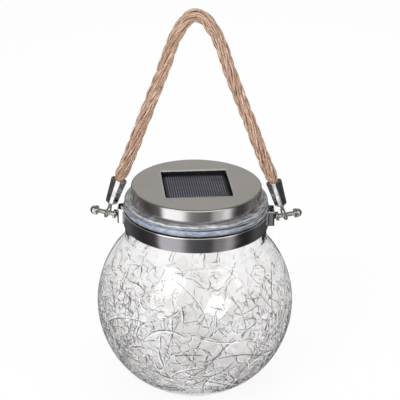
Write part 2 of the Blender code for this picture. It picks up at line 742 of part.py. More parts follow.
def lid_gasket():
    rubber = material("gasket_rubber", (0.75, 0.76, 0.77), 0.6)
    middle = (SLEEVE_RADIUS + SLEEVE_BORE) / 2
    low, high = middle - GASKET_WIDTH / 2, middle + GASKET_WIDTH / 2
    profile = [(low, GASKET_Z), (high, GASKET_Z),
               (high, GASKET_Z + GASKET_THICKNESS), (low, GASKET_Z + GASKET_THICKNESS)]
    return turned("lid_gasket", profile, rubber, wrap=True, count=RING_SEGMENTS)


def solar_cell(pivot):
    silicon = material("solar_silicon", (0.03, 0.035, 0.06), 0.15)
    rings = [rounded_square_ring(CELL_SIDE, CELL_CORNER_RADIUS, z, RING_SEGMENTS)
             for z in (CELL_Z, CELL_Z + CELL_THICKNESS)]
    return loft("solar_cell", rings, silicon, pivot)


# --------------------------------------------------- inside the housing
def housing_cover(pivot, plastic):
    lip = CUP_BORE - FIT
    cover = turned("housing_cover", [
        (CUP_RADIUS, COVER_Z), (CUP_RADIUS, COVER_TOP),
        (lip, COVER_TOP), (lip, COVER_TOP + COVER_LIP_HEIGHT),
        (lip - COVER_LIP_WALL, COVER_TOP + COVER_LIP_HEIGHT), (lip - COVER_LIP_WALL, COVER_TOP),
    ], plastic, pivot, count=RING_SEGMENTS)

    half = BATTERY_LENGTH / 2
    plate_end = -half - 2 * FIT - CONTACT_THICKNESS
    spring_end = half + 2 * FIT + SPRING_LENGTH
    side = BATTERY_RADIUS + FIT
    root = COVER_TOP - FIT
    end_high = root + CRADLE_HEIGHT
    side_high = root + CRADLE_SIDE_HEIGHT
    low_y, high_y = BATTERY_Y - CONTACT_SIDE / 2, BATTERY_Y + CONTACT_SIDE / 2
    long = CRADLE_SIDE_LENGTH / 2
    walls = [
        box("cradle_plate_end", (plate_end - CRADLE_WALL, low_y, root),
            (plate_end, high_y, end_high), None),
        box("cradle_spring_end", (spring_end, low_y, root),
            (spring_end + CRADLE_WALL, high_y, end_high), None),
        box("cradle_back", (-long, BATTERY_Y + side, root),
            (long, BATTERY_Y + side + CRADLE_WALL, side_high), None),
        box("cradle_front", (-long, BATTERY_Y - side - CRADLE_WALL, root),
            (-long / 2, BATTERY_Y - side, side_high), None),
    ]
    low, high = COVER_Z - FIT, COVER_TOP + FIT
    holes = [rod("cover_hole_%d" % i, SCREW_SHANK_RADIUS + 2 * FIT, low, high, x, y, 12)
             for i, (x, y) in enumerate(boss_places())]
    holes.append(rod("led_hole", LED_RADIUS + FIT, low, high))
    slot_x = (KNOB_LENGTH + SWITCH_TRAVEL) / 2 + FIT
    slot_y = KNOB_WIDTH / 2 + FIT
    holes.append(box("knob_slot", (-slot_x, SWITCH_Y - slot_y, low),
                     (slot_x, SWITCH_Y + slot_y, high), None))
    combine(cover, "UNION", walls)
    return combine(cover, "DIFFERENCE", holes)


def cover_screws(pivot, steel):
    head_top = COVER_Z - FIT
    soft = SCREW_HEAD_HEIGHT * 0.4
    for i, (x, y) in enumerate(boss_places()):
        screw = turned("cover_screw_%d" % (i + 1), [
            (SCREW_HEAD_RADIUS - soft, head_top - SCREW_HEAD_HEIGHT),
            (SCREW_HEAD_RADIUS, head_top - SCREW_HEAD_HEIGHT + soft),
            (SCREW_HEAD_RADIUS, head_top),
            (SCREW_SHANK_RADIUS, head_top),
            (SCREW_SHANK_RADIUS, head_top + SCREW_LENGTH - soft),
            (SCREW_SHANK_RADIUS * 0.4, head_top + SCREW_LENGTH),
        ], steel, pivot, count=16)
        screw.location = (x, y, 0)


def circuit_board(pivot):
    green = material("board_green", (0.02, 0.16, 0.06), 0.45)
    black = material("chip_black", (0.02, 0.02, 0.02), 0.5)
    copper = material("coil_green", (0.10, 0.35, 0.20), 0.4)
    half_x, half_y = BOARD_LENGTH / 2, BOARD_WIDTH / 2
    box("circuit_board", (-half_x, BOARD_Y - half_y, BOARD_Z),
        (half_x, BOARD_Y + half_y, BOARD_Z + BOARD_THICKNESS), green, pivot)
    under = BOARD_Z - FIT
    x, y = CHIP_PLACE
    long, wide, thick = CHIP_SIZE
    box("driver_chip", (x - long / 2, y - wide / 2, under - thick),
        (x + long / 2, y + wide / 2, under), black, pivot)
    coil = turned("boost_coil", [(COIL_RADIUS, under - COIL_HEIGHT), (COIL_RADIUS, under)],
                  copper, pivot)
    coil.location = (*COIL_PLACE, 0)


def battery(pivot):
    sleeve = material("battery_sleeve", (0.10, 0.32, 0.16), 0.35)
    half = BATTERY_LENGTH / 2
    soft = 0.0004
    cell = turned("battery", [
        (BATTERY_RADIUS - soft, -half), (BATTERY_RADIUS, -half + soft),
        (BATTERY_RADIUS, half - BATTERY_NUB_LENGTH - soft),
        (BATTERY_RADIUS - soft, half - BATTERY_NUB_LENGTH),
        (BATTERY_NUB_RADIUS, half - BATTERY_NUB_LENGTH), (BATTERY_NUB_RADIUS, half),
    ], sleeve, pivot, count=24)
    cell.rotation_euler = (0, -pi / 2, 0)
    cell.location = (0, BATTERY_Y, BATTERY_Z)


def battery_contacts(pivot, steel):
    half = BATTERY_LENGTH / 2
    plate_x = -half - FIT - CONTACT_THICKNESS
    side = CONTACT_SIDE / 2
    low_z = COVER_TOP + FIT
    box("contact_plate", (plate_x, BATTERY_Y - side, low_z),
        (plate_x + CONTACT_THICKNESS, BATTERY_Y + side, low_z + CRADLE_HEIGHT - FIT), steel, pivot)
    steps = SPRING_TURNS * 12
    start = half + FIT + SPRING_WIRE_RADIUS
    length = SPRING_LENGTH - 2 * SPRING_WIRE_RADIUS
    points = []
    for i in range(steps + 1):
        share = i / steps
        angle = 2 * pi * SPRING_TURNS * share
        radius = SPRING_TIP_RADIUS + (SPRING_BASE_RADIUS - SPRING_TIP_RADIUS) * share
        points.append(Vector((start + length * share, BATTERY_Y + radius * cos(angle),
                              BATTERY_Z + radius * sin(angle))))
    tube("contact_spring", points, SPRING_WIRE_RADIUS, steel, pivot, sides=1)


def lamp(pivot):
    epoxy = material("led_epoxy", (0.95, 0.95, 0.90), 0.1, transmission=0.6)
    frost = material("frosted_lens", (0.92, 0.93, 0.92), 0.5, transmission=0.7)
    flange = COVER_TOP + FIT
    tip = COVER_TOP - LED_LENGTH
    dome = arc((0, tip + LED_RADIUS), LED_RADIUS, radians(-80), 0.0, 5)
    led = turned("led", dome + [
        (LED_RADIUS, flange), (LED_FLANGE_RADIUS, flange),
        (LED_FLANGE_RADIUS, flange + LED_FLANGE_HEIGHT)], epoxy, pivot)
    leg = LED_LEG_WIDTH / 2
    legs = []
    for name, side in SIDES.items():
        x = side * LED_LEG_SPACING / 2
        legs.append(box("led_leg_" + name, (x - leg, -leg, flange + LED_FLANGE_HEIGHT - FIT),
                        (x + leg, leg, BOARD_Z - FIT), None))
    combine(led, "UNION", legs)

    rim = COVER_Z - FIT
    low = rim - LENS_RIM_HEIGHT
    bore = LENS_RADIUS - LENS_WALL
    angles = [radians(a) for a in (0, -25, -50, -75)]
    outer = [(LENS_RADIUS * cos(a), low + LENS_DOME_SHARE * LENS_RADIUS * sin(a)) for a in angles]
    inner = [(bore * cos(a), low + LENS_DOME_SHARE * bore * sin(a)) for a in angles]
    turned("led_lens", inner[::-1] + [(bore, rim), (LENS_RADIUS, rim)] + outer, frost, pivot,
           count=24)


def slide_switch(pivot):
    black = material("switch_black", (0.02, 0.02, 0.02), 0.45)
    white = material("knob_white", (0.85, 0.85, 0.84), 0.4)
    long, wide, high = SWITCH_SIZE
    low_z = COVER_TOP + FIT
    body = box("switch_body", (-long / 2, SWITCH_Y - wide / 2, low_z),
               (long / 2, SWITCH_Y + wide / 2, low_z + high), black, pivot)
    slot_x = (KNOB_LENGTH + SWITCH_TRAVEL) / 2 + FIT
    slot_y = KNOB_WIDTH / 2 + FIT
    pocket = box("switch_pocket", (-slot_x, SWITCH_Y - slot_y, low_z - FIT),
                 (slot_x, SWITCH_Y + slot_y, low_z + KNOB_ROOT + FIT), None)
    combine(body, "DIFFERENCE", [pocket])
    off_x = -SWITCH_TRAVEL / 2
    knob = box("switch_knob", (-KNOB_LENGTH / 2, SWITCH_Y - KNOB_WIDTH / 2, COVER_Z - KNOB_REACH),
               (KNOB_LENGTH / 2, SWITCH_Y + KNOB_WIDTH / 2, low_z + KNOB_ROOT), white, pivot)
    knob.location = (off_x, 0, 0)


def panel_wires(pivot):
    looks = {"wire_red": material("red_wire", (0.6, 0.03, 0.02), 0.4),
             "wire_black": material("black_wire", (0.02, 0.02, 0.02), 0.4)}
    low, high = BOARD_Z + BOARD_THICKNESS + FIT, CELL_Z - FIT
    for name, (x, y) in WIRE_PLACES.items():
        points = [Vector((x, y, low + (high - low) * i / 3)) for i in range(4)]
        tube(name, points, WIRE_RADIUS, looks[name], pivot, sides=1)


# ------------------------------------------------------------ assembly
def build():
    for old in list(bpy.data.objects):
        bpy.data.objects.remove(old, do_unlink=True)
    hardware = material("polished_steel", (0.62, 0.61, 0.60), 0.18, metallic=1.0)
    plastic = material("housing_plastic", (0.015, 0.015, 0.017), 0.45)

    glass_globe()
    neck_collar()
    neck_band()
    for name, side in SIDES.items():
        bolt_set(name, side, hardware)

    handle = empty("handle_pivot", (0, 0, EYE_Z))
    for name, side in SIDES.items():
        rope_clamp(name, side, hardware, handle)
    handle_rope(handle)

    lid_gasket()
    turn = Matrix.Rotation(LID_TURN, 3, "Z").to_quaternion()
    lid = empty("lid_pivot", (0, 0, 0), turn)
    lid_cap(lid)
    lid_insert(lid)
    solar_cell(lid)
    housing_cover(lid, plastic)
    cover_screws(lid, hardware)
    circuit_board(lid)
    battery(lid)
    battery_contacts(lid, hardware)
    lamp(lid)
    slide_switch(lid)
    panel_wires(lid)


build()
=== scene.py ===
"""Solar jar lantern: surfaces, rope, crackle glass, lights and camera.

Metres, +Z up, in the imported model's own frame: the origin is the middle of the
jar's flat base, and X runs along the two handle bolts.
"""

import random
from math import acos, atan2, copysign, cos, pi, radians, sin, sqrt, tan

import bmesh
import bpy
from mathutils import Matrix, Vector, noise


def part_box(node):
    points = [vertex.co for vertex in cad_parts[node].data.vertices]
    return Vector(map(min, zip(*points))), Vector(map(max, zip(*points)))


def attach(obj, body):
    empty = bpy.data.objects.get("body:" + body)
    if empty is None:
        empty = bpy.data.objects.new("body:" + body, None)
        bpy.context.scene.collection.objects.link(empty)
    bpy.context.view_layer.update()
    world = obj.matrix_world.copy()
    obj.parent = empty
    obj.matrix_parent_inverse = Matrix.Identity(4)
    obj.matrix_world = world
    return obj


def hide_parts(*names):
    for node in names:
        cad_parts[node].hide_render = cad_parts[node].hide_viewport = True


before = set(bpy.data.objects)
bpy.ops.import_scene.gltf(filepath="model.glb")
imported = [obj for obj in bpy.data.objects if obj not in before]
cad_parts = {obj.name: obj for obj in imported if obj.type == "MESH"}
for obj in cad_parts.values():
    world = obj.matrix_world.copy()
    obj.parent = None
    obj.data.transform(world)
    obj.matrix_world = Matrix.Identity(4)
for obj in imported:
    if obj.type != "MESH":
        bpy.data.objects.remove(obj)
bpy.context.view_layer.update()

# ---- sizes from the frame
FIT = 0.0003  # the gap between parts that fit together
globe_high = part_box("glass_globe")[1]
band_low, band_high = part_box("neck_band")
collar_low, collar_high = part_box("neck_collar")
lid_low, lid_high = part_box("lid_cap")
cell_low, cell_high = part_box("solar_cell")

GLOBE_RADIUS = 0.060
GLOBE_CENTRE = 0.050
BASE_EDGE = 0.008
WALL = 0.0025
NECK_RADIUS = 0.0427
NECK_BLEND = 0.007
RIM_Z = globe_high[2]
BAND_LOW, BAND_HIGH = band_low[2], band_high[2]
BAND_RADIUS = band_high[1]
BAND_SHEET = 0.0006
LUG_FACE = band_high[0]
LUG_WIDTH = 0.011
LEDGE_Z = lid_low[2] - FIT
LID_RADIUS = 0.0389
LID_TOP = lid_high[2] - FIT
LID_SHEET = 0.0005
LID_TURN = Matrix.Rotation(radians(6.3), 4, "Z")
WINDOW_SIDE = 0.0396

BOLT_TILT = radians(12)
BOLT_RADIUS = 0.0015
BOLT_Z = (BAND_LOW + BAND_HIGH) / 2 - 0.0008
CAP_NUT_START = 0.0118
NUT_FLATS = 0.0055
NUT_STEPS = 48
EYE_X = LUG_FACE + 0.006
EYE_Z = BOLT_Z + 0.006 * tan(BOLT_TILT)
EYE_HOLE = 0.003
EYE_RADIUS = 0.0039
EYE_THICKNESS = 0.0009
EYE_SOFT = 0.00014
EYE_LIFT = 0.0006
EYE_TWIST = radians(22)
CLAMP_LEAN = radians(18.1)
CLAMP_TWIST = radians(21)
CLAMP_SIDE = 0.0077
CLAMP_LOW_SIDE = 0.0061
CLAMP_CORNER = 0.0016
CLAMP_WALL = 0.0005
SHOULDER_START = 0.0064
SHOULDER = 0.0074
CLAMP_FLOOR = 0.0085
CLAMP_TOP = 0.0231

ROPE_RADIUS = 0.004
ROPE_LEAN = -0.0012
# half of the rope's arch above the clamp: distance from the middle, height
# above the bolts' axis
ROPE_ROUTE = (
    (0.0438, 0.0268), (0.0394, 0.0371), (0.0318, 0.0572), (0.0241, 0.0770), (0.0187, 0.0914),
    (0.0156, 0.1010), (0.0120, 0.1101), (0.0090, 0.1155), (0.0048, 0.1208), (0.0000, 0.1228))


# ---- materials
class Nodes:
    """Short ways to add and link the nodes of a tree."""

    def __init__(self, tree):
        self.tree = tree

    def add(self, kind, inputs=(), **settings):
        node = self.tree.nodes.new(kind)
        for key, value in settings.items():
            setattr(node, key, value)
        for key, value in dict(inputs).items():
            self.put(node.inputs[key], value)
        return node

    def put(self, socket, value):
        if isinstance(value, bpy.types.NodeSocket):
            self.tree.links.new(value, socket)
        else:
            socket.default_value = value

    def place(self, source="Object", scale=(1, 1, 1), turn=(0, 0, 0)):
        """Stretched coordinates, from the object or its UV map, in metres."""
        coords = self.add("ShaderNodeTexCoord")
        mapping = self.add("ShaderNodeMapping", {
            "Vector": coords.outputs[source], "Scale": scale, "Rotation": turn})
        return mapping.outputs["Vector"]

    def axes(self, vector=None):
        """X, Y and Z of a vector, or else of the object's own coordinates."""
        node = self.add("ShaderNodeSeparateXYZ", {
            "Vector": self.place() if vector is None else vector})
        return node.outputs

    def noise(self, vector, detail=3.0, rough=0.5):
        node = self.add("ShaderNodeTexNoise", {
            "Vector": vector, "Scale": 1.0, "Detail": detail, "Roughness": rough})
        return node.outputs["Fac"]

    def grain(self, scale, detail=3.0, rough=0.5, source="Object", turn=(0, 0, 0)):
        """Noise of so many waves a metre, in all directions or in each."""
        if isinstance(scale, int):
            scale = (scale, scale, scale)
        return self.noise(self.place(source, scale, turn), detail, rough)

    def fit(self, value, low, high, to_low=0.0, to_high=1.0):
        node = self.add("ShaderNodeMapRange", {
            "Value": value, "From Min": low, "From Max": high,
            "To Min": to_low, "To Max": to_high})
        return node.outputs["Result"]

    def maths(self, operation, a, b=0.0, c=0.0):
        node = self.add("ShaderNodeMath", {0: a, 1: b, 2: c}, operation=operation)
        return node.outputs[0]

    def times(self, a, b):
        return self.maths("MULTIPLY", a, b)

    def ramp(self, value, stops):
        node = self.add("ShaderNodeValToRGB", {"Fac": value})
        band = node.color_ramp.elements
        while len(band) < len(stops):
            band.new(1.0)
        for element, (place, colour) in zip(band, stops):
            element.position = place
            element.color = (*colour, 1.0)
        return node.outputs["Color"]

    def mix(self, factor, a, b, kind="MIX"):
        node = self.add("ShaderNodeMix", data_type="RGBA", blend_type=kind)
        for index, value in ((0, factor), (6, a), (7, b)):
            if isinstance(value, tuple):
                value = (*value, 1.0)
            self.put(node.inputs[index], value)
        return node.outputs[2]


class Look(Nodes):
    """A material; a keyword sets the shader's socket of that name."""

    def __init__(self, name, colour, **sockets):
        self.material = bpy.data.materials.new(name)
        self.material.use_nodes = True
        self.material.diffuse_color = (*colour, 1.0)
        super().__init__(self.material.node_tree)
        self.shader = self.tree.nodes["Principled BSDF"]
        self.shader.inputs["Base Color"].default_value = (*colour, 1.0)
        for socket, value in sockets.items():
            self.shader.inputs[socket.replace("_", " ")].default_value = value

    def give(self, socket, value):
        self.put(self.shader.inputs[socket], value)

    def paint(self, value):
        self.give("Base Color", value)

    def mottle(self, spots, low, dark, high, light):
        """Two colours that follow a noise."""
        self.paint(self.ramp(spots, ((low, dark), (high, light))))

    def wear(self, spots, smooth, rough):
        """Roughness that follows a noise."""
        self.give("Roughness", self.fit(spots, 0.3, 0.7, smooth, rough))

    def bump(self, height, distance, strength):
        node = self.add("ShaderNodeBump", {
            "Height": height, "Distance": distance, "Strength": strength})
        self.give("Normal", node.outputs["Normal"])


def brushed_steel(name, colour, roughness, streak_scale, anisotropy, streaks, lug=None):
    """Steel with fine brushing round the Z axis; the lugs may get a painted highlight, a line of
    painted shade near their faces and a painted highlight along the band's upper edge.
    """
    look = Look(name, colour, Metallic=1.0, Roughness=roughness, Anisotropic=anisotropy)
    lines = look.grain(streak_scale, 4.0, 0.7)
    clouds = look.grain(45)
    dark = tuple(c * (1 - streaks) for c in colour)
    light = tuple(min(1.0, c * (1 + streaks)) for c in colour)
    shade = look.ramp(lines, ((0.3, dark), (0.7, light)))
    if lug:
        # painted light: a painted highlight on the lugs, a line of painted shade near their faces
        # and a painted highlight along the band's upper edge
        axes = look.axes()
        aside = look.maths("ABSOLUTE", axes["X"])
        for place, low, high, tone in (
                (aside, BAND_RADIUS + 0.0001, BAND_RADIUS + 0.0006, lug),
                (aside, LUG_FACE - 0.0010, LUG_FACE - 0.0008, (0.05, 0.048, 0.045)),
                (axes["Z"], BAND_HIGH - 0.0007, BAND_HIGH - 0.0005, (0.95, 0.92, 0.88))):
            shade = look.mix(look.fit(place, low, high), shade, tone)
    look.paint(shade)
    rough = look.maths("ADD", look.fit(lines, 0.3, 0.7, -0.05, 0.06),
                       look.fit(clouds, 0.3, 0.7, roughness - 0.03, roughness + 0.03))
    look.give("Roughness", rough)
    tangent = look.add("ShaderNodeTangent", direction_type="RADIAL", axis="Z")
    look.give("Tangent", tangent.outputs["Tangent"])
    look.bump(lines, 0.00001, 0.4)
    return look.material


def polished_steel(name, colour, roughness, dirt=0.25):
    """Drawn and polished steel with light handling marks."""
    look = Look(name, colour, Metallic=1.0, Roughness=roughness)
    marks = look.grain((500, 500, 120), 4.0, 0.6)
    spots = look.grain(260, 4.0, 0.6)
    shade = tuple(c * (1 - dirt) for c in colour)
    look.mottle(spots, 0.35, shade, 0.6, colour)
    look.give("Roughness", look.fit(marks, 0.25, 0.75, roughness * 0.6, roughness * 1.8))
    look.bump(marks, 0.00002, 0.2)
    return look.material


def plain_plastic(name, colour, roughness):
    """Moulded plastic with a fine eroded grain."""
    look = Look(name, colour, Roughness=roughness)
    grains = look.grain(900, 2.0)
    clouds = look.grain(60, 2.0)
    tint = tuple(min(1.0, c * 1.15 + 0.004) for c in colour)
    look.mottle(clouds, 0.35, colour, 0.7, tint)
    look.wear(grains, roughness * 0.9, roughness * 1.15)
    look.bump(grains, 0.00003, 0.4)
    return look.material


def crackle_glass():
    """Clear glass; each pane between the cracks has a tone of its own, and painted shade darkens it
    towards the bottom.
    """
    look = Look("crackle_glass", (0.95, 0.94, 0.935), Roughness=0.0, IOR=1.47,
                Transmission_Weight=1.0)
    cells = look.add("ShaderNodeTexVoronoi", {"Vector": look.place(), "Scale": 105.0})
    tone = look.add("ShaderNodeSeparateColor", {"Color": cells.outputs["Color"]})
    panes = look.ramp(tone.outputs[0], (
        (0.0, (0.885, 0.87, 0.86)), (0.3, (0.955, 0.945, 0.94)), (0.5, (0.995, 0.99, 0.99)),
        (1.0, (1.0, 1.0, 1.0))))
    # painted shade: the glass is tinted darker towards the bottom
    low_shade = look.fit(look.axes()["Z"], 0.062, 0.030)
    look.paint(look.mix(low_shade, panes, (0.955, 0.948, 0.945), "MULTIPLY"))
    look.bump(look.grain((60, 60, 45), 2.0), 0.0006, 0.5)
    return look.material


def crack_film():
    """The air film in a crack: grey, darker low down, with white flakes that are painted glints."""
    look = Look("crack_film", (0.3, 0.3, 0.3), Roughness=0.35, Alpha=0.85)
    flakes = look.grain(900, rough=0.7)
    patches = look.grain(160, 2.0)
    low_grey = look.ramp(patches, ((0.34, (0.020, 0.018, 0.018)), (0.66, (0.16, 0.15, 0.15))))
    high_grey = look.ramp(patches, ((0.34, (0.035, 0.033, 0.033)), (0.66, (0.28, 0.27, 0.27))))
    grey = look.mix(look.fit(look.axes()["Z"], 0.066, 0.036), high_grey, low_grey)
    # the white flakes are painted glints
    bright = look.ramp(flakes, ((0.55, (0.0, 0.0, 0.0)), (0.60, (1.0, 1.0, 1.0))))
    look.paint(look.mix(bright, grey, (0.95, 0.95, 0.96)))
    return look.material


def glint_look():
    """White ribbons for the light a crack's face throws back: a painted glint."""
    look = Look("crack_glint", (0.97, 0.97, 0.97), Roughness=0.3)
    patches = look.grain(500, 2.0)
    look.mottle(patches, 0.35, (0.80, 0.80, 0.81), 0.55, (1.0, 1.0, 1.0))
    return look.material


def jute():
    """Dark and light fibres that run along the yarns."""
    look = Look("jute", (0.46, 0.29, 0.19), Roughness=0.85, Sheen_Weight=0.12,
                Sheen_Roughness=0.5)
    fibres = look.grain((150, 3000, 1), 4.0, 0.65, "UV")
    yarns = look.grain((35, 500, 1), 2.0, source="UV")
    colour = look.ramp(fibres, (
        (0.32, (0.08, 0.042, 0.028)), (0.43, (0.34, 0.209, 0.146)),
        (0.54, (0.60, 0.405, 0.295)), (0.65, (1.0, 0.790, 0.660))))
    toned = look.mix(look.fit(yarns, 0.42, 0.68, 0.0, 0.6), colour, (0.33, 0.205, 0.140))
    look.paint(toned)
    look.wear(fibres, 0.95, 0.75)
    look.bump(fibres, 0.00012, 0.8)
    return look.material


def collar_plastic():
    """Clear bluish plastic with light and shade painted by height: painted highlights on its
    ridges, painted shade in its grooves and at its foot.
    """
    look = Look("collar_plastic", (0.36, 0.41, 0.49), Roughness=0.1, IOR=1.49,
                Transmission_Weight=0.3, Coat_Weight=0.6, Coat_Roughness=0.05)
    axes = look.axes()
    clouds = look.grain((70, 70, 500))
    height = look.maths("ADD", axes["Z"], look.fit(clouds, 0.3, 0.7, -0.0002, 0.0002))
    rise = look.fit(height, RIM_Z, LEDGE_Z + 0.1 * (LEDGE_Z - RIM_Z))
    # the collar's own blue-grey, with painted shade at its foot and in the groove, and a white
    # painted highlight near the ledge
    tone = look.ramp(rise, (
        (0.04, (0.004, 0.004, 0.006)), (0.13, (0.012, 0.012, 0.016)), (0.18, (0.34, 0.37, 0.43)),
        (0.36, (0.55, 0.64, 0.81)), (0.51, (0.51, 0.58, 0.73)), (0.575, (0.44, 0.49, 0.61)),
        (0.63, (0.48, 0.54, 0.67)), (0.74, (0.46, 0.51, 0.61)), (0.78, (0.30, 0.32, 0.37)),
        (0.82, (0.98, 0.99, 1.0)), (0.88, (0.98, 0.99, 1.0)), (0.92, (0.33, 0.335, 0.35)),
        (1.0, (0.22, 0.22, 0.23))))
    # on the right the groove between the two ridges is in shadow
    groove = look.times(look.fit(rise, 0.53, 0.57), look.fit(rise, 0.63, 0.59))
    shadow = look.times(groove, look.fit(axes["X"], -0.014, 0.002))
    tone = look.mix(shadow, tone, (0.10, 0.11, 0.14))
    hatch = look.grain((330, 330, 1500), 2.0, turn=(radians(12), 0, 0))
    hatched = look.mix(look.fit(hatch, 0.45, 0.62, 0.0, 0.55), tone, (0.10, 0.105, 0.12))
    # towards the sides in X the collar turns grey: painted shade
    beside = look.fit(look.maths("ABSOLUTE", look.maths("ADD", axes["X"], 0.007)), 0.020, 0.036)
    side_shade = look.mix(look.times(beside, 0.55), hatched, (0.17, 0.175, 0.18))
    # rings of light and shade run round its sides
    east, north = axes["X"], axes["Y"]
    radius = look.maths("SQRT", look.maths("MULTIPLY_ADD", east, east, look.times(north, north)))
    around = look.add("ShaderNodeCombineXYZ", {
        "X": look.times(radius, 1500.0),
        "Y": look.times(look.maths("ARCTAN2", east, north), 4.0),
        "Z": look.times(axes["Z"], 1500.0)})
    rings = look.noise(around.outputs[0], 1.0)
    dark = look.times(beside, look.fit(rings, 0.44, 0.36, 0.0, 0.7))
    light = look.times(beside, look.fit(rings, 0.54, 0.62, 0.0, 0.8))
    ringed = look.mix(dark, side_shade, (0.05, 0.052, 0.056))
    look.paint(look.mix(light, ringed, (0.78, 0.80, 0.83)))
    look.wear(hatch, 0.08, 0.24)
    look.bump(hatch, 0.00006, 0.6)
    return look.material


def solar_silicon():
    look = Look("solar_silicon", (0.030, 0.034, 0.055), Roughness=0.4, Specular_IOR_Level=0.2)
    grain = look.grain(420, 4.0)
    look.mottle(grain, 0.35, (0.014, 0.016, 0.020), 0.65, (0.028, 0.031, 0.040))
    look.wear(grain, 0.34, 0.48)
    return look.material


def finger_silver():
    look = Look("finger_silver", (0.20, 0.19, 0.26), Metallic=0.5, Roughness=0.4)
    look.mottle(look.grain((60, 900, 60)), 0.3, (0.10, 0.10, 0.13), 0.7, (0.30, 0.29, 0.37))
    return look.material


def speckled(name, dark, light, roughness, scale, clear):
    """A plain finish with a fine two-colour mottle, more or less clear."""
    look = Look(name, light, Roughness=roughness, Transmission_Weight=clear)
    spots = look.grain(scale)
    look.mottle(spots, 0.35, dark, 0.65, light)
    look.wear(spots, roughness * 0.85, roughness * 1.2)
    look.bump(spots, 0.00002, 0.3)
    return look.material


# ---- mesh helpers
def link(name, data):
    """A new object in the scene."""
    thing = bpy.data.objects.new(name, data)
    bpy.context.scene.collection.objects.link(thing)
    return thing


def add_piece(name, mesh, look, body, slot, *nodes):
    """Links a finished mesh as a piece that rides on a body."""
    for used in (look if isinstance(look, (list, tuple)) else [look]):
        mesh.materials.append(used)
    piece = link(name, mesh)
    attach(piece, body)
    if nodes:
        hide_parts(*nodes)
    return piece


def smooth_mesh(bm, name, sharp):
    """A mesh that is smooth but for the edges past an angle in degrees."""
    mesh = bpy.data.meshes.new(name)
    bm.to_mesh(mesh)
    bm.free()
    mesh.shade_smooth()
    mesh.set_sharp_from_angle(angle=radians(sharp))
    return mesh


def run_lengths(points):
    """Lengths from the first point along the loop and back to it."""
    lengths = [0.0]
    for a, b in zip(points, points[1:] + points[:1]):
        lengths.append(lengths[-1] + (b - a).length)
    return lengths


class Shape:
    """Gathers skinned grids of points, with UV coordinates in metres."""

    def __init__(self):
        self.bm = bmesh.new()
        self.uv = self.bm.loops.layers.uv.new("UVMap")

    def skin(self, rows, round_rows=True, round_run=False, caps=False, shift=0.0, look=0):
        """Faces between rows of points; a row, and the run of rows, may close."""
        points = [[self.bm.verts.new(p) for p in row] for row in rows]
        wide, tall = len(rows[0]), len(rows)
        us, vs = run_lengths(rows[0]), run_lengths([row[0] for row in rows])
        for j in range(tall if round_run else tall - 1):
            for i in range(wide if round_rows else wide - 1):
                right, up = (i + 1) % wide, (j + 1) % tall
                corners = ((i, j, us[i], vs[j]), (right, j, us[i + 1], vs[j]),
                           (right, up, us[i + 1], vs[j + 1]), (i, up, us[i], vs[j + 1]))
                face = self.bm.faces.new([points[y][x] for x, y, _, _ in corners])
                face.smooth = True
                face.material_index = look
                for loop, (_, _, u, v) in zip(face.loops, corners):
                    loop[self.uv].uv = (v, u + shift)
        if caps:
            for row in (points[0][::-1], points[-1]):
                face = self.bm.faces.new(row)
                face.material_index = look

    def mesh(self, name, sharp):
        bmesh.ops.recalc_face_normals(self.bm, faces=self.bm.faces)
        return smooth_mesh(self.bm, name, sharp)

    def piece(self, name, sharp, look, body, slot, *nodes, move=Matrix()):
        """The finished shape, moved to its place, as a piece."""
        mesh = self.mesh(name, sharp)
        mesh.transform(move)
        return add_piece(name, mesh, look, body, slot, *nodes)


def polar(radius, angle, z):
    return Vector((radius * cos(angle), radius * sin(angle), z))


def ring(radius, z, count):
    return [polar(radius, 2 * pi * i / count, z) for i in range(count)]


def turned(profile, count):
    """Rings round the Z axis through the points of a profile."""
    return [ring(r, z, count) for r, z in profile]


def tilted(u, v, angle):
    """The direction at an angle from u towards v."""
    return cos(angle) * u + sin(angle) * v


def ring_about(centre, radius, u, v, count):
    return [centre + radius * tilted(u, v, 2 * pi * n / count) for n in range(count)]


def chord(path, i):
    """From the point before the i-th of a path to the one after it."""
    return path[min(i + 1, len(path) - 1)] - path[max(i - 1, 0)]


def arc(centre, radius, start, end, steps):
    angles = [start + (end - start) * i / steps for i in range(steps + 1)]
    return [(centre[0] + radius * cos(a), centre[1] + radius * sin(a)) for a in angles]


def square_ring(side, corner, z, count, turn=0.0, fold=None):
    """A ring of points on a square with round corners, one on each ray.

    A fold (its bearing, its distance out) cuts one corner off flat.
    """
    half = side / 2
    flat = half - corner
    points = []
    for i in range(count):
        angle = 2 * pi * i / count
        x, y = abs(cos(angle)), abs(sin(angle))
        reach = half / max(x, y)
        if reach * min(x, y) > flat:
            along = flat * (x + y)
            reach = along + sqrt(max(0.0, along ** 2 - 2 * flat ** 2 + corner ** 2))
        if fold and cos(angle + turn - fold[0]) > 0.3:
            reach = min(reach, fold[1] / cos(angle + turn - fold[0]))
        points.append(polar(reach, angle + turn, z))
    return points


# ---- rope
LAY = 0.027                  # one turn of a strand
STRANDS = 3
YARNS = 11                   # round each strand
STRAND_OFFSET = 0.00105
YARN_OFFSET = 0.00225
YARN_RADIUS = 0.00068
YARN_LAY = 0.25              # the yarns hardly turn against the strands
ROPE_STEP = 0.0011
FIBRES = 420
FIBRE_RADIUS = 0.00006
ACROSS = Vector((0, 1, 0))   # the arch stands in the plane of X and Z
CRIMP = 0.62                 # of the rope's thickness at the clamps' floors
CRIMP_MOUTH = 0.76           # and at their mouths


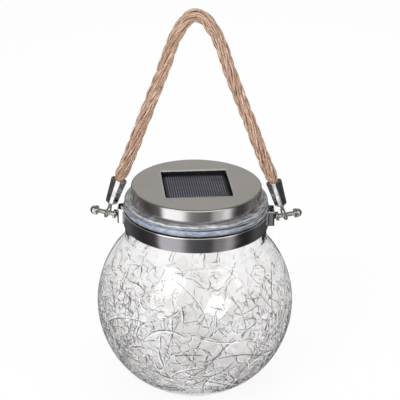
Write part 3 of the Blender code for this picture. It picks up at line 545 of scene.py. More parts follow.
def rope_line():
    """The rope's centre line, from the right clamp over the arch to the left."""
    sides = []
    for side in (1, -1):
        half = [(EYE_X - s * sin(CLAMP_LEAN), s * cos(CLAMP_LEAN))
                for s in (CLAMP_FLOOR + 2 * FIT, CLAMP_TOP + FIT)]
        low, top = half[-1][1], ROPE_ROUTE[-1][1]
        half += ROPE_ROUTE
        sides.append([Vector((side * x + ROPE_LEAN * max(0.0, (z - low) / (top - low)), 0,
                              EYE_Z + z)) for x, z in half])
    points = sides[0] + sides[1][-2::-1]
    dense = []
    padded = [2 * points[0] - points[1], *points, 2 * points[-1] - points[-2]]
    for p0, p1, p2, p3 in zip(padded, padded[1:], padded[2:], padded[3:]):
        for i in range(24):
            t = i / 24
            dense.append(0.5 * (2 * p1 + (p2 - p0) * t
                                + (2 * p0 - 5 * p1 + 4 * p2 - p3) * t ** 2
                                + (3 * p1 - p0 - 3 * p2 + p3) * t ** 3))
    dense.append(points[-1])
    lengths = run_lengths(dense)[:-1]
    count = round(lengths[-1] / ROPE_STEP)
    line, index = [], 0
    for k in range(count + 1):
        goal = lengths[-1] * k / count
        while index < len(lengths) - 2 and lengths[index + 1] < goal:
            index += 1
        share = (goal - lengths[index]) / (lengths[index + 1] - lengths[index])
        line.append(dense[index].lerp(dense[index + 1], share))
    return line, lengths[-1]


def rope_thickness(s, total):
    """1 on the free rope, less inside the clamps, with a soft flare between."""
    inside = CLAMP_TOP - CLAMP_FLOOR
    free = min(s, total - s) - inside
    share = min(1.0, max(0.0, (free + 0.0006) / 0.004))
    held = CRIMP + (CRIMP_MOUTH - CRIMP) * min(1.0, max(0.0, 1 + free / inside))
    return held + (1 - held) * share * share * (3 - 2 * share)


def rope():
    line, total = rope_line()
    shape = Shape()
    step = total / (len(line) - 1)
    for k in range(STRANDS):
        for j in range(YARNS):
            rows = []
            seed = 10.0 * k + j
            for i, point in enumerate(line):
                s = i * step
                up = chord(line, i).normalized().cross(ACROSS)
                thick = rope_thickness(s, total)
                wobble = noise.noise(Vector((s * 60, seed, 0.5)))
                swell = 1 + 0.16 * noise.noise(Vector((s * 130, seed, 7.5)))
                turn = 2 * pi * (s / LAY + k / STRANDS) + 0.16 * wobble
                twist = 2 * pi * (j / YARNS - s / YARN_LAY) + 0.35 * wobble
                strand = STRAND_OFFSET * tilted(ACROSS, up, turn)
                yarn = YARN_OFFSET * (1 + 0.12 * wobble) * tilted(ACROSS, up, twist)
                rows.append(ring_about(point + thick * (strand + yarn),
                                       thick * swell * YARN_RADIUS, ACROSS, up, 6))
            shape.skin(rows, caps=True, shift=0.013 * seed)
    piece = shape.piece("rope", 75, jute(), "handle", "jute", "handle_rope")
    fuzz = rope_fuzz(line, total)


def rope_fuzz(line, total):
    """Loose fibres that stand off the yarns."""
    rng = random.Random(11)
    shape = Shape()
    step = total / (len(line) - 1)
    first = int((CLAMP_TOP - CLAMP_FLOOR + 0.002) / step)
    for _ in range(FIBRES):
        i = rng.randrange(first, len(line) - first)
        tangent = chord(line, i).normalized() * rng.choice((-1, 1))
        out = tilted(ACROSS, tangent.cross(ACROSS), rng.uniform(0, 2 * pi))
        side = tangent.cross(out)
        length = rng.uniform(0.002, 0.0065)
        lift = rng.uniform(0.08, 0.28)
        curl = rng.uniform(-0.5, 0.5)
        start = line[i] + out * ROPE_RADIUS * 0.90
        rows = []
        for n in range(6):
            t = n / 5
            middle = (start + tangent * length * t + out * length * lift * t * (1.6 - t)
                      + side * length * curl * t * t)
            rows.append(ring_about(middle, FIBRE_RADIUS * (1.05 - t), out, side, 3))
        shape.skin(rows, caps=True, shift=0.01 * i)
    return shape.piece("rope_fuzz", 75, bpy.data.materials["jute"], "handle", "jute")


# ---- glass globe
def jar_skin(inset):
    """The jar's profile from the base to the rim, set in by the wall."""
    steps, bend_steps = 72, 14
    edge_r = sqrt((GLOBE_RADIUS - BASE_EDGE) ** 2 - (GLOBE_CENTRE - BASE_EDGE) ** 2)
    edge_angle = atan2(BASE_EDGE - GLOBE_CENTRE, edge_r)
    blend_r = NECK_RADIUS + NECK_BLEND
    blend_angle = acos(blend_r / (GLOBE_RADIUS + NECK_BLEND))
    neck_z = GLOBE_CENTRE + sqrt((GLOBE_RADIUS + NECK_BLEND) ** 2 - blend_r ** 2)
    base = arc((edge_r, BASE_EDGE), BASE_EDGE - inset, -pi / 2, edge_angle, bend_steps)
    globe = arc((0, GLOBE_CENTRE), GLOBE_RADIUS - inset, edge_angle, blend_angle, steps)
    neck = arc((blend_r, neck_z), NECK_BLEND + inset, blend_angle + pi, pi, bend_steps)
    return base + globe[1:] + neck[1:] + [(NECK_RADIUS - inset, RIM_Z)]


def glass_globe():
    shape = Shape()
    outer = [(0.004, 0.0)] + jar_skin(0.0)
    inner = [(0.004, WALL)] + jar_skin(WALL)
    rounding = arc((NECK_RADIUS - WALL / 2, RIM_Z - WALL / 2), WALL / 2, 0, pi, 8)
    shape.skin(turned(outer[:-1] + rounding + inner[-2::-1], 160), caps=True)
    shape.piece("glass_jar", 60, crackle_glass(), "jar", "crackle_glass", "glass_globe")


# A crack is a thin sheet that stands on edge in the glass wall, with a dark
# ribbon as its open edge and often a white one beside it, a painted glint.
CENTRE = Vector((0, 0, GLOBE_CENTRE))
CRACK_FOOT_Z, CRACK_TOP_Z = 0.006, 0.088
CRACK_STEP = 0.0011
CRACK_CELLS = 950
RIBBON_DEPTH = 0.00012
GLINT_LIFT = 0.00003


def random_spot(rng, low, high):
    """A random point of the unit sphere between two heights."""
    z = rng.uniform(low, high)
    return polar(sqrt(1 - z * z), rng.uniform(0, 2 * pi), z)


def crack_side(path, i):
    """Square to the crack at its i-th point, in the globe's surface."""
    return path[i].cross(chord(path, i)).normalized()


def crack_taper(path, i):
    """1 along the crack and down to 0 at both its ends."""
    t = i / (len(path) - 1)
    return min(1.0, 4 * t, 4 * (1 - t))


def crack_density(spot):
    """How densely the globe is cracked: least at the shoulder and behind."""
    height = GLOBE_CENTRE + GLOBE_RADIUS * spot.z
    share = min(1.0, max(0.0, (CRACK_TOP_Z - height) / CRACK_TOP_Z))
    level = min(1.0, 5 * share) * 0.32 + 1.7 * share ** 1.5
    return level * (0.64 - 0.36 * spot.y - 0.12 * spot.x + 0.5 * abs(spot.x) ** 3)


def crack_network(rng):
    """Curved cracks along the borders of random cells on the sphere."""
    sites = []
    while len(sites) < CRACK_CELLS:
        site = random_spot(rng, -1, 1)
        if rng.random() * 2.0 < crack_density(site):
            sites.append(site)
    bm = bmesh.new()
    for site in sites:
        bm.verts.new(site)
    bmesh.ops.convex_hull(bm, input=bm.verts, use_existing_faces=False)
    bm.normal_update()
    paths = []
    for edge in bm.edges:
        if len(edge.link_faces) != 2:
            continue
        a, b = [face.normal.normalized() for face in edge.link_faces]
        if a.dot(edge.verts[0].co) < 0:
            a, b = -a, -b
        gap = (a - b).length
        if gap > 0.5 or gap < 0.01:
            continue
        if rng.random() > 0.30 + 0.6 * crack_density((a + b) / 2):
            continue
        length = gap * GLOBE_RADIUS
        steps = max(2, round(length / CRACK_STEP))
        bow = rng.uniform(-0.24, 0.24)
        side = a.cross(b).normalized()
        phase = rng.uniform(0, 100)
        path = []
        for i in range(steps + 1):
            t = i / steps
            jitter = 0.035 * noise.noise(Vector((phase + 5 * t * length / 0.01, 0, 0)))
            aside = gap * (bow * 4 * t * (1 - t)) + jitter * min(t, 1 - t)
            path.append((a.lerp(b, t) + side * aside).normalized())
        paths.append(path)
    bm.free()
    return paths


def crack_wanderers(rng, count, shortest, longest, bend):
    """Single curved cracks that cross the cells."""
    paths = []
    while len(paths) < count:
        spot = random_spot(rng, -0.8, 0.72)
        if rng.random() * 2.0 > crack_density(spot):
            continue
        heading = spot.orthogonal().normalized()
        heading.rotate(Matrix.Rotation(rng.uniform(0, 2 * pi), 3, spot))
        steps = round(rng.uniform(shortest, longest) / CRACK_STEP)
        curve = rng.uniform(-bend, bend)
        path = [spot]
        for _ in range(steps):
            curve = max(-bend, min(bend, curve + rng.uniform(-0.25, 0.25) * bend))
            heading.rotate(Matrix.Rotation(curve * CRACK_STEP, 3, spot))
            spot = (spot + heading * CRACK_STEP / GLOBE_RADIUS).normalized()
            heading = (heading - heading.dot(spot) * spot).normalized()
            path.append(spot)
        paths.append(path)
    return paths


def crack_ribbon(shape, path, width, seed, glint=False, aside=0.0):
    """A ribbon in the globe's surface, thin at its ends: dark, or white as a painted glint."""
    radius = GLOBE_RADIUS + (GLINT_LIFT if glint else -RIBBON_DEPTH)
    rows = []
    for i, spot in enumerate(path):
        side = crack_side(path, i)
        swell = 1 + 0.9 * noise.noise(Vector((seed + i * 0.45, 3.5, 0)))
        half = side * width / 2 * swell * (0.2 + 0.8 * crack_taper(path, i))
        middle = CENTRE + spot * radius + side * aside
        rows.append([middle - half, middle + half])
    if all(CRACK_FOOT_Z < row[0].z < CRACK_TOP_Z + 0.001 for row in rows):
        shape.skin(rows, round_rows=False, look=int(glint))


def crack_sheet(shape, path, rng):
    """The crack's air film, down into the wall."""
    tilt = rng.uniform(-0.3, 0.3)
    depth = rng.uniform(0.0004, 0.0009)
    start = rng.uniform(0.0001, 0.0004)
    phase = rng.uniform(0, 100)
    rows = []
    for i, spot in enumerate(path):
        wave = noise.noise(Vector((phase + i * 0.35, 0, 0)))
        deep = depth * (0.35 + 0.65 * crack_taper(path, i)) * (1 + 0.3 * wave)
        lean = crack_side(path, i) * deep * (tilt + 0.5 * wave)
        rows.append([CENTRE + spot * (GLOBE_RADIUS - start),
                     CENTRE + spot * (GLOBE_RADIUS - start - deep) + lean])
    keep = [n for n, row in enumerate(rows) if CRACK_FOOT_Z < row[0].z < CRACK_TOP_Z + 0.002]
    if len(keep) >= 3 and keep[-1] - keep[0] + 1 == len(keep):
        shape.skin([rows[n] for n in keep], round_rows=False)


def cracks():
    rng = random.Random(5)
    shape = Shape()
    paths = crack_network(rng)
    paths += crack_wanderers(rng, 150, 0.010, 0.028, 70)
    paths += crack_wanderers(rng, 46, 0.028, 0.055, 34)
    paths += crack_wanderers(rng, 480, 0.0022, 0.006, 90)
    for path in paths:
        crack_sheet(shape, path, rng)
    for n, path in enumerate(paths):
        width = rng.uniform(0.00014, 0.00036) * (1.25 if len(path) > 8 else 0.9)
        width *= (1.4 - 0.6 * path[0].z) * (0.80 - 0.35 * path[0].y)
        crack_ribbon(shape, path, width, 3.0 * n)
        # a white ribbon beside the crack: a painted glint
        if rng.random() < 0.6:
            crack_ribbon(shape, path, width * 0.75, 3.0 * n + 50, True,
                         rng.choice((-1, 1)) * (width + 0.00012))
    # white ribbons scattered over the glass: painted glints
    for n, path in enumerate(crack_wanderers(rng, 1300, 0.0022, 0.005, 120)):
        width = rng.uniform(0.00014, 0.00034) * (1.1 - 0.8 * path[0].z)
        crack_ribbon(shape, path, width, 3.0 * n, True)
    shape.piece("cracks", 60, [crack_film(), glint_look()], "jar", "crackle_glass")


# ---- band, collar and lid
def band_outline():
    """The band's outline with a lug at each end of X, drawn in on the left."""
    half = LUG_WIDTH / 2
    corner = 0.0009
    outline = []
    foot = atan2(half, sqrt(BAND_RADIUS ** 2 - half ** 2))
    for start, side, draft in ((0.0, 1, 0.05), (pi, -1, 0.34)):
        narrow = half - draft * (LUG_FACE - BAND_RADIUS)
        lug = arc((LUG_FACE - corner, -narrow + corner), corner, -pi / 2, 0, 5)
        lug += arc((LUG_FACE - corner, narrow - corner), corner, 0, pi / 2, 5)
        outline += [(side * x, side * y) for x, y in lug]
        outline += arc((0, 0), BAND_RADIUS, start + foot, start + pi - foot, 72)
    return outline


def offset_outline(outline, distance):
    """The outline moved outwards along its own normals."""
    moved = []
    for i, (x, y) in enumerate(outline):
        ax, ay = outline[i - 1]
        bx, by = outline[(i + 1) % len(outline)]
        normal = Vector((by - ay, ax - bx)).normalized()
        moved.append((x + normal.x * distance, y + normal.y * distance))
    return moved


def neck_band():
    shape = Shape()
    outline = band_outline()
    soft = BAND_SHEET / 2
    section = arc((-soft, BAND_LOW + soft), soft, -pi / 2, 0, 4)
    section += [(0.0, z) for z in (BAND_LOW + 0.0030, BAND_HIGH - 0.0030, BAND_HIGH - 0.0015,
                                   BAND_HIGH - 0.0009)]
    section += arc((-soft, BAND_HIGH - soft), soft, 0, pi, 8)
    section += [(-BAND_SHEET, BAND_HIGH - 0.002), (-BAND_SHEET, BAND_LOW + 0.002)]
    section += arc((-soft, BAND_LOW + soft), soft, -pi, -pi / 2, 4)[:-1]
    rows = [[Vector((x, y, z)) for x, y in offset_outline(outline, out)] for out, z in section]
    shape.skin(rows, round_run=True)
    # the light lug colour is a painted highlight on the band's lugs
    look = brushed_steel("band_steel", (0.285, 0.275, 0.28), 0.15, (25, 25, 3000), 0.5, 0.16,
                         lug=(0.74, 0.73, 0.73))
    shape.piece("steel_band", 40, look, "jar", "band_steel", "neck_band")


def thread(shape, wall, start_z):
    """One turn of a ridge round a wall; it fades out at both ends."""
    pitch, ridge, steps = 0.003, 0.0011, 96
    rows = []
    for i in range(steps + 1):
        root = wall - 0.0002
        crest = wall + ridge * min(1.0, (min(i, steps - i) + 0.5) / 12)
        rows.append([polar(r, 2 * pi * i / steps, start_z + pitch * i / steps + rise)
                     for r, rise in ((root, -0.0006), (crest, -0.0003), (crest, 0.0003),
                                     (root, 0.0006))])
    shape.skin(rows, caps=True)


def neck_collar():
    shape = Shape()
    low = collar_low[2] + 0.005 + FIT
    radius = collar_high[0]
    waist = low + 0.62 * (LEDGE_Z - low)
    step, groove = 0.0005, 0.00075
    sleeve_r, sleeve_bore = 0.0354, 0.0336
    spigot_r, spigot_bore = 0.0399, 0.0381
    top = collar_high[2]

    def bead(outer, bottom, high):
        middle, half = (bottom + high) / 2, (high - bottom) / 2
        angles = [radians(-85 + 170 * i / 12) for i in range(13)]
        return [(outer - groove + groove * cos(a), middle + half * sin(a)) for a in angles]

    profile = bead(radius, low, waist) + bead(radius - step, waist, LEDGE_Z) + [
        (sleeve_r + 0.0003, LEDGE_Z), (sleeve_r, LEDGE_Z + 0.0003), (sleeve_r, top - 0.0003),
        (sleeve_r - 0.0003, top), (sleeve_bore, top), (sleeve_bore, LEDGE_Z - 0.0018),
        (spigot_bore, LEDGE_Z - 0.0036), (spigot_bore, collar_low[2]),
        (spigot_r, collar_low[2]), (spigot_r, low)]
    shape.skin(turned(profile, 192), round_run=True)
    thread(shape, sleeve_r, LEDGE_Z + 0.0009)
    shape.piece("collar", 35, collar_plastic(), "jar", "clear_plastic", "neck_collar")


def lid():
    """The lid: a shell down to its underside, and the window's polished lip, lighter than the lid
    as a painted highlight.
    """
    count = 240
    edge, corner, margin = 0.0012, 0.0014, 0.0020
    lip_round = 0.00045
    inner, flat = LID_RADIUS - LID_SHEET, LID_RADIUS - edge
    under, skirt = LID_TOP - LID_SHEET, lid_low[2]

    def square(wider, rounder, z):
        return square_ring(WINDOW_SIDE + wider, corner + rounder, z, count)

    wall = [(LID_RADIUS - 0.0001, skirt), (LID_RADIUS, skirt + 0.0002),
            (LID_RADIUS, skirt + 0.0010)]
    wall += arc((flat, LID_TOP - edge), edge, 0, pi / 2, 8) + [(flat - 0.0004, LID_TOP)]
    rows = turned(wall, count) + [square(3 * margin, margin, LID_TOP)]
    for share in (0.15, 0.5, 0.85):
        height = 0.2 * share * share * (3 - 2 * share)
        rows += [square(margin * (3 - share), margin * (1 - share / 2), LID_TOP + FIT * height)]
    lip = [square(wider, rounder, LID_TOP + share * FIT) for wider, rounder, share in (
        (0.0020, 0.0010, 0.2), (0.0017, 0.0008, 0.4), (0.0012, 0.0006, 0.95),
        (0.0010, 0.0005, 1.0))]
    for angle in map(radians, (10, 25, 40, 55, 70, 90)):
        out, fall = lip_round * (1 - sin(angle)), lip_round * (1 - cos(angle))
        lip += [square(2 * out, out, LID_TOP + FIT - fall)]
    inside = [square(0, 0, under)]
    inside += turned([(flat, under), (inner, LID_TOP - edge), (inner, skirt)], count)
    shape = Shape()
    shape.skin(rows + lip[:1])
    shape.skin(lip, look=1)
    shape.skin(lip[-1:] + inside + rows[:1])
    bmesh.ops.remove_doubles(shape.bm, verts=shape.bm.verts, dist=0.000001)
    look = brushed_steel("lid_steel", (0.62, 0.60, 0.575), 0.15, (16, 16, 2600), 0.4, 0.05)
    # the lip's polish is its own; its lighter colour is a painted highlight
    lip_highlight_look = polished_steel("lip_highlight_steel", (0.84, 0.82, 0.78), 0.3, 0.08)
    shape.piece("lid_shell", 50, [look, lip_highlight_look], "lid", "lid_steel", "lid_cap", move=LID_TURN)


def solar_cell():
    """The cell under its clear resin, with printed contact fingers."""
    side, soft, margin = 0.0376, 0.0003, 0.0022
    fingers, width = 25, 0.00038
    low, high = cell_low[2], cell_high[2]
    shape = Shape()
    shape.skin([square_ring(side - less, 0.0025, z, 96) for less, z in (
        (0, low), (0, high - soft), (0.6 * soft, high - 0.3 * soft), (2 * soft, high))],
        caps=True)
    half = side / 2 - margin
    foot, crest = high - 0.0001, high + 0.00004
    for i in range(fingers):
        middle = -half + 2 * half * i / (fingers - 1)
        left, right = middle - width / 2, middle + width / 2
        section = ((left, foot), (left, crest), (right, crest), (right, foot))
        shape.skin([[Vector((x, y, z)) for x, z in section] for y in (-half, half)],
                   caps=True, look=1)
    shape.piece("solar_panel", 40, [solar_silicon(), finger_silver()], "lid", "solar",
                "solar_cell", move=LID_TURN)


# ---- handle hardware
def bolt_frame(side):
    """Bolt axis: origin in the lug's face, +Z outwards and tipped up."""
    out = Vector((side * cos(BOLT_TILT), 0, sin(BOLT_TILT)))
    turn = Matrix((ACROSS, out.cross(ACROSS), out)).transposed().to_4x4()
    return Matrix.Translation((side * LUG_FACE, 0, BOLT_Z)) @ turn


def hex_nut_rows(low, high):
    """A hexagon whose corners are turned off at both faces."""
    cone, widest = NUT_FLATS * 0.49, NUT_FLATS * 0.562
    rows = []
    for z, share in ((low, 0.0), (low + 0.00018, 0.55), (low + 0.00045, 1.0),
                     (high - 0.00045, 1.0), (high - 0.00018, 0.55), (high, 0.0)):
        row = []
        for i in range(NUT_STEPS):
            angle = 2 * pi * i / NUT_STEPS
            off = (angle + pi / 6) % (pi / 3) - pi / 6
            reach = min(NUT_FLATS / 2 / cos(off), widest)
            row.append(polar(cone + (reach - cone) * share, angle, z))
        rows.append(row)
    return rows


def bolt(side, name, steel):
    head_r, head_h, soft = 0.00275, 0.0015, 0.0006
    head_top = -BAND_SHEET - FIT - head_r * sin(BOLT_TILT)
    end = CAP_NUT_START + 0.0032 - FIT
    pitch, depth, count, parts = 0.0005, 0.00014, 24, 6
    head = [(r, head_top - head_h + z)
            for r, z in arc((head_r - soft, soft), soft, -pi / 2, 0, 4)]
    rows = turned(head + [(head_r, head_top), (BOLT_RADIUS, head_top)], count)
    for i in range(int((end - head_top) / pitch * parts)):
        row = []
        for n in range(count):
            cut = depth * abs(2 * ((i / parts + n / count) % 1.0) - 1)
            row.append(polar(BOLT_RADIUS - cut, 2 * pi * n / count,
                             head_top + pitch * (i + 0.5) / parts))
        rows.append(row)
    shape = Shape()
    shape.skin(rows, caps=True)
    shape.piece("bolt_screw_" + name, 50, steel, "jar", "hardware", "bolt_" + name,
                move=bolt_frame(side))


def nuts(side, name, steel):
    """The nut against the lug, and the cap nut at the bolt's end."""
    soft = 0.0003
    bore = BOLT_RADIUS + FIT / 2
    low = FIT + NUT_FLATS / 2 * sin(BOLT_TILT)
    high = low + 0.002
    shape = Shape()
    shape.skin(hex_nut_rows(low, high) + turned(
        [(bore + soft, high), (bore, high - soft), (bore, low + soft), (bore + soft, low)],
        NUT_STEPS), round_run=True)
    shape.piece("lock_nut_" + name, 30, steel, "jar", "hardware", "hex_nut_" + name,
                move=bolt_frame(side))

    low = CAP_NUT_START
    seat, dome = low + 0.0023, 0.0026
    cap = [(dome - 0.0002, seat), (dome - 0.0002, seat + 0.0002)]
    cap += arc((0, seat + 0.0001), dome, radians(6), radians(86), 12)
    shape = Shape()
    shape.skin(turned([(bore, low + 0.0028), (bore, low + soft), (bore + soft, low)], NUT_STEPS)
               + hex_nut_rows(low, seat) + turned(cap, NUT_STEPS), caps=True)
    shape.piece("cap_nut_" + name, 30, steel, "jar", "hardware", "acorn_nut_" + name,
                move=bolt_frame(side))


def eye_plate(outline, hole):
    """A flat plate with a hole and soft edges, standing on X, as a mesh."""
    curve = bpy.data.curves.new("plate", "CURVE")
    curve.dimensions = "2D"
    curve.fill_mode = "BOTH"
    curve.extrude = EYE_THICKNESS / 2 - EYE_SOFT
    curve.bevel_depth = EYE_SOFT
    curve.bevel_resolution = 2
    curve.offset = -EYE_SOFT
    for loop in (outline, hole):
        line = curve.splines.new("POLY")
        line.points.add(len(loop) - 1)
        for point, (x, y) in zip(line.points, loop):
            point.co = (x, y, 0, 1)
        line.use_cyclic_u = True
    holder = bpy.data.objects.new("plate", curve)
    mesh = bpy.data.meshes.new_from_object(holder)
    bpy.data.objects.remove(holder)
    bpy.data.curves.remove(curve)
    mesh.transform(Matrix(((0, 0, 1, 0), (1, 0, 0, 0), (0, 1, 0, 0), (0, 0, 0, 1))))
    return mesh


def rope_clamp(side, name, steel):
    count = 96
    turn = side * CLAMP_TWIST
    half_width = 0.0025
    front = radians(-90 + (-17 if side < 0 else -14)) - side * EYE_TWIST

    def sleeve(z, inset):
        share = (z - SHOULDER) / (CLAMP_TOP - SHOULDER)
        width = CLAMP_LOW_SIDE + (CLAMP_SIDE - CLAMP_LOW_SIDE) * share
        return square_ring(width - 2 * inset, CLAMP_CORNER - inset, z, count, turn,
                           (front, 0.525 * width - inset))

    def tongue(z, grow):
        return [Vector((copysign(abs(p.x) ** 0.3, p.x) * EYE_THICKNESS / 2 * grow,
                        copysign(abs(p.y) ** 0.8, p.y) * half_width, z))
                for p in ring(1.0, z, count)]

    shape = Shape()
    lip = CLAMP_WALL / 2
    rows = [tongue(SHOULDER_START - 0.002, 0.96), tongue(SHOULDER_START - 0.0003, 1.0)]
    blend = zip(tongue(SHOULDER_START + 0.0004, 1.0), sleeve(SHOULDER - 0.0003, 0.0002))
    rows += [[a.lerp(b, 0.55) for a, b in blend]]
    rows += [sleeve(SHOULDER - 0.0001, 0.00012), sleeve(SHOULDER + 0.0002, 0.0)]
    rows += [sleeve(SHOULDER + (CLAMP_TOP - lip - SHOULDER) * i / 12, 0.0) for i in range(1, 13)]
    rows += [sleeve(CLAMP_TOP - lip + lip * sin(a), lip - lip * cos(a))
             for a in (pi * i / 8 for i in range(1, 9))]
    rows += [sleeve(SHOULDER + 0.0012, CLAMP_WALL)]
    shape.skin(rows, caps=True)

    start = acos(half_width / EYE_RADIUS)
    outline = arc((0, EYE_LIFT), EYE_RADIUS, pi - start, 2 * pi + start, 40)
    outline += [(half_width, SHOULDER_START), (-half_width, SHOULDER_START)]
    hole = arc((0, EYE_LIFT), EYE_HOLE, 0, 2 * pi, 40)[:-1]

    bm = bmesh.new()
    bm.from_mesh(shape.mesh("clamp_sleeve", 50))
    sleeve_faces = len(bm.faces)
    bm.from_mesh(eye_plate(outline, hole))
    bm.faces.ensure_lookup_table()
    for face in bm.faces[sleeve_faces:]:
        face.material_index = 1
    mesh = smooth_mesh(bm, "clamp_" + name, 40)
    lean = Matrix.Rotation(-side * CLAMP_LEAN, 4, "Y")
    twist = Matrix.Rotation(side * EYE_TWIST, 4, "Z")
    mesh.transform(Matrix.Translation((side * EYE_X, 0, EYE_Z)) @ lean @ twist)
    add_piece("clamp_" + name, mesh, steel, "handle", "clamp_steel", "rope_clamp_" + name)


# ---- finishes of the CAD's nodes
def dress_nodes():
    """Finishes for the solids that no piece replaces."""
    looks = [
        (bpy.data.materials["nut_steel"], "contact_plate", "contact_spring",
         "cover_screw_1", "cover_screw_2", "cover_screw_3"),
        (plain_plastic("black_plastic", (0.006, 0.006, 0.007), 0.5),
         "lid_insert", "housing_cover", "switch_body", "driver_chip"),
        (plain_plastic("white_plastic", (0.80, 0.80, 0.78), 0.38), "switch_knob"),
        (plain_plastic("wire_red_skin", (0.55, 0.03, 0.02), 0.35), "wire_red"),
        (plain_plastic("wire_black_skin", (0.02, 0.02, 0.02), 0.35), "wire_black"),
    ]
    for name, *finish in (
            ("lid_gasket", "gasket_rubber", (0.62, 0.63, 0.64), (0.72, 0.73, 0.74), 0.6, 500, 0),
            ("circuit_board", "board_green", (0.015, 0.12, 0.045), (0.03, 0.19, 0.08), 0.4, 380, 0),
            ("boost_coil", "coil_green", (0.07, 0.26, 0.14), (0.12, 0.40, 0.22), 0.4, 900, 0),
            ("battery", "battery_sleeve", (0.08, 0.27, 0.13), (0.12, 0.36, 0.18), 0.3, 240, 0),
            ("led", "led_epoxy", (0.85, 0.85, 0.80), (0.96, 0.96, 0.92), 0.1, 300, 0.6),
            ("led_lens", "frosted_lens", (0.88, 0.89, 0.89), (0.94, 0.95, 0.95), 0.5, 800, 0.75)):
        looks.append((speckled(*finish), name))
    for look, *names in looks:
        for name in names:
            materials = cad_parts[name].data.materials
            materials.clear()
            materials.append(look)


# ---- floor, light and camera
def stage_floor():
    """The white floor; it glows for the camera, and for the glass behind, where the glow fades to
    the sides and front as painted shade.
    """
    bm = bmesh.new()
    bmesh.ops.create_grid(bm, x_segments=1, y_segments=1, size=3.0)
    mesh = bpy.data.meshes.new("floor")
    bm.to_mesh(mesh)
    bm.free()
    floor = link("floor", mesh)
    floor.location.z = -FIT
    floor.visible_glossy = False
    look = Look("floor_white", (0.92, 0.92, 0.92), Roughness=0.9)
    seen = look.add("ShaderNodeLightPath")
    glow = look.add("ShaderNodeEmission", {"Color": (1, 1, 1, 1), "Strength": 1.0})
    axes = look.axes()
    # seen through the glass the floor's glow fades towards the sides and the front: painted shade
    # for the globe's edges
    aside = look.fit(look.maths("ABSOLUTE", axes["X"]), 0.115, 0.34, 1.0, 0.27)
    ahead = look.fit(axes["Y"], -0.02, 0.12, 0.55, 1.0)
    through = look.times(seen.outputs["Is Transmission Ray"], look.times(aside, ahead))
    share = look.times(0.9, look.maths("MAXIMUM", seen.outputs["Is Camera Ray"], through))
    mix = look.add("ShaderNodeMixShader", {
        0: share, 1: look.shader.outputs["BSDF"], 2: glow.outputs["Emission"]})
    look.put(look.tree.nodes["Material Output"].inputs["Surface"], mix.outputs["Shader"])
    mesh.materials.append(look.material)


# What the metal reflects at each bearing from the front, in degrees: two
# softboxes with a grey gap between them, dark sides and a white rear.
STUDIO = (
    (-180, 1.0), (-173, 1.0), (-166, 0.12), (-132, 0.24), (-110, 0.13), (-95, 0.08),
    (-63, 0.13), (-57, 1.6), (-24, 1.5), (-12, 0.34), (0, 0.24), (25, 0.16), (31, 0.55),
    (46, 0.70), (53, 1.20), (60, 1.05), (67, 0.12), (76, 0.05), (87, 0.05), (97, 0.10),
    (110, 0.22), (124, 0.17), (150, 0.09), (166, 0.10), (173, 1.0), (180, 1.0),
)


def studio_world():
    world = bpy.data.worlds.new("studio")
    world.use_nodes = True
    bpy.context.scene.world = world
    kit = Nodes(world.node_tree)
    back = kit.tree.nodes["Background"]
    seen = kit.add("ShaderNodeLightPath").outputs
    coords = kit.add("ShaderNodeTexCoord")
    axes = kit.axes(coords.outputs["Generated"])
    bearing = kit.maths("ARCTAN2", axes["X"], kit.times(axes["Y"], -1.0))
    off_front = kit.maths("ABSOLUTE", bearing)
    around = kit.fit(bearing, -pi, pi)
    low = kit.ramp(around, [((degrees + 180) / 360, (level, 0.985 * level, 1.03 * level))
                            for degrees, level in STUDIO])
    up = axes["Z"]
    # above the softboxes: a dim ceiling, a lamp high in front, a grey rear wall
    ceiling = kit.mix(kit.fit(up, 0.12, 0.24), low, (0.16, 0.155, 0.15))
    ahead = kit.fit(off_front, radians(66), radians(48))
    high = kit.times(kit.fit(up, 0.28, 0.36), kit.fit(up, 0.80, 0.70))
    ceiling = kit.mix(kit.times(ahead, high), ceiling, (1.7, 1.68, 1.62))
    rear = kit.fit(off_front, radians(115), radians(145))
    wall = kit.times(rear, kit.fit(up, 0.16, 0.26))
    sky = kit.mix(wall, ceiling, (0.47, 0.455, 0.44))
    overhead = kit.mix(kit.fit(up, 0.80, 0.88), sky, (0.26, 0.255, 0.25))
    lit = kit.mix(seen["Is Glossy Ray"], (0.55, 0.55, 0.56), overhead)
    beside = kit.fit(off_front, radians(70), radians(154), 0.38, 1.0)
    through = kit.mix(seen["Is Transmission Ray"], lit, beside)
    kit.put(back.inputs["Color"], kit.mix(seen["Is Camera Ray"], through, (1.0, 1.0, 1.0)))
    back.inputs["Strength"].default_value = 1.0


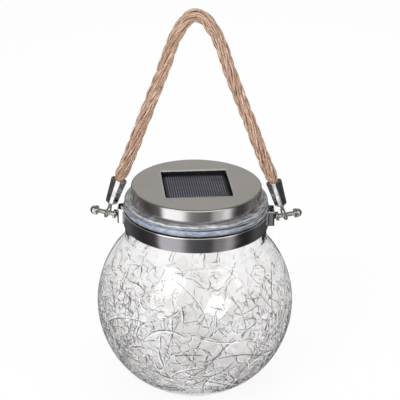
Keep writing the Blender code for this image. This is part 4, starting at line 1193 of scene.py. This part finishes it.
def softbox(name, place, target, size, power):
    lamp = bpy.data.lights.new(name, "AREA")
    lamp.shape = "SQUARE"
    lamp.size = size
    lamp.energy = power
    holder = link(name, lamp)
    holder.location = place
    holder.rotation_mode = "QUATERNION"
    holder.rotation_quaternion = (Vector(target) - Vector(place)).to_track_quat("-Z", "Y")
    holder.visible_glossy = False


def camera():
    """The photograph's view: square frame, 400 pixels a side."""
    distance, elevation, roll = 0.781, radians(24.14), radians(0.83)
    aim = Vector((0.00228, 0, 0.11667))
    focal_pixels, frame_pixels = 1306.4, 400
    ahead = Vector((0, cos(elevation), -sin(elevation)))
    east, level_up = Vector((1, 0, 0)), Vector((0, sin(elevation), cos(elevation)))
    right, up = tilted(east, level_up, roll), tilted(level_up, -east, roll)
    data = bpy.data.cameras.new("camera")
    data.sensor_fit = "HORIZONTAL"
    data.sensor_width = 36
    data.lens = data.sensor_width * focal_pixels / frame_pixels
    data.clip_start = 0.01
    holder = link("camera", data)
    turn = Matrix((right, up, -ahead)).transposed().to_4x4()
    holder.matrix_world = Matrix.Translation(aim - distance * ahead) @ turn
    bpy.context.scene.camera = holder


# ---- assembly
camera()
rope()
glass_globe()
cracks()
neck_band()
neck_collar()
lid()
solar_cell()
nut_steel = polished_steel("nut_steel", (0.66, 0.64, 0.60), 0.10)
# the eye plates get a darker copy of the clamp steel: painted shade
clamp_steel = [polished_steel("clamp_steel", (0.76, 0.74, 0.71), 0.14, 0.35),
               polished_steel("eye_steel_shaded", (0.20, 0.19, 0.18), 0.2, 0.3)]
for side_name, side_sign in (("left", -1), ("right", 1)):
    bolt(side_sign, side_name, nut_steel)
    nuts(side_sign, side_name, nut_steel)
    rope_clamp(side_sign, side_name, clamp_steel)
dress_nodes()
stage_floor()
studio_world()
softbox("key_left", (-0.55, -0.75, 0.75), (0, 0, 0.1), 0.6, 6.5)
softbox("key_right", (0.7, -0.6, 0.55), (0, 0, 0.1), 0.6, 3.0)
softbox("rear_top", (0.1, 0.7, 0.9), (0, 0, 0.12), 0.7, 3.5)
bpy.context.scene.view_settings.view_transform = "Standard"
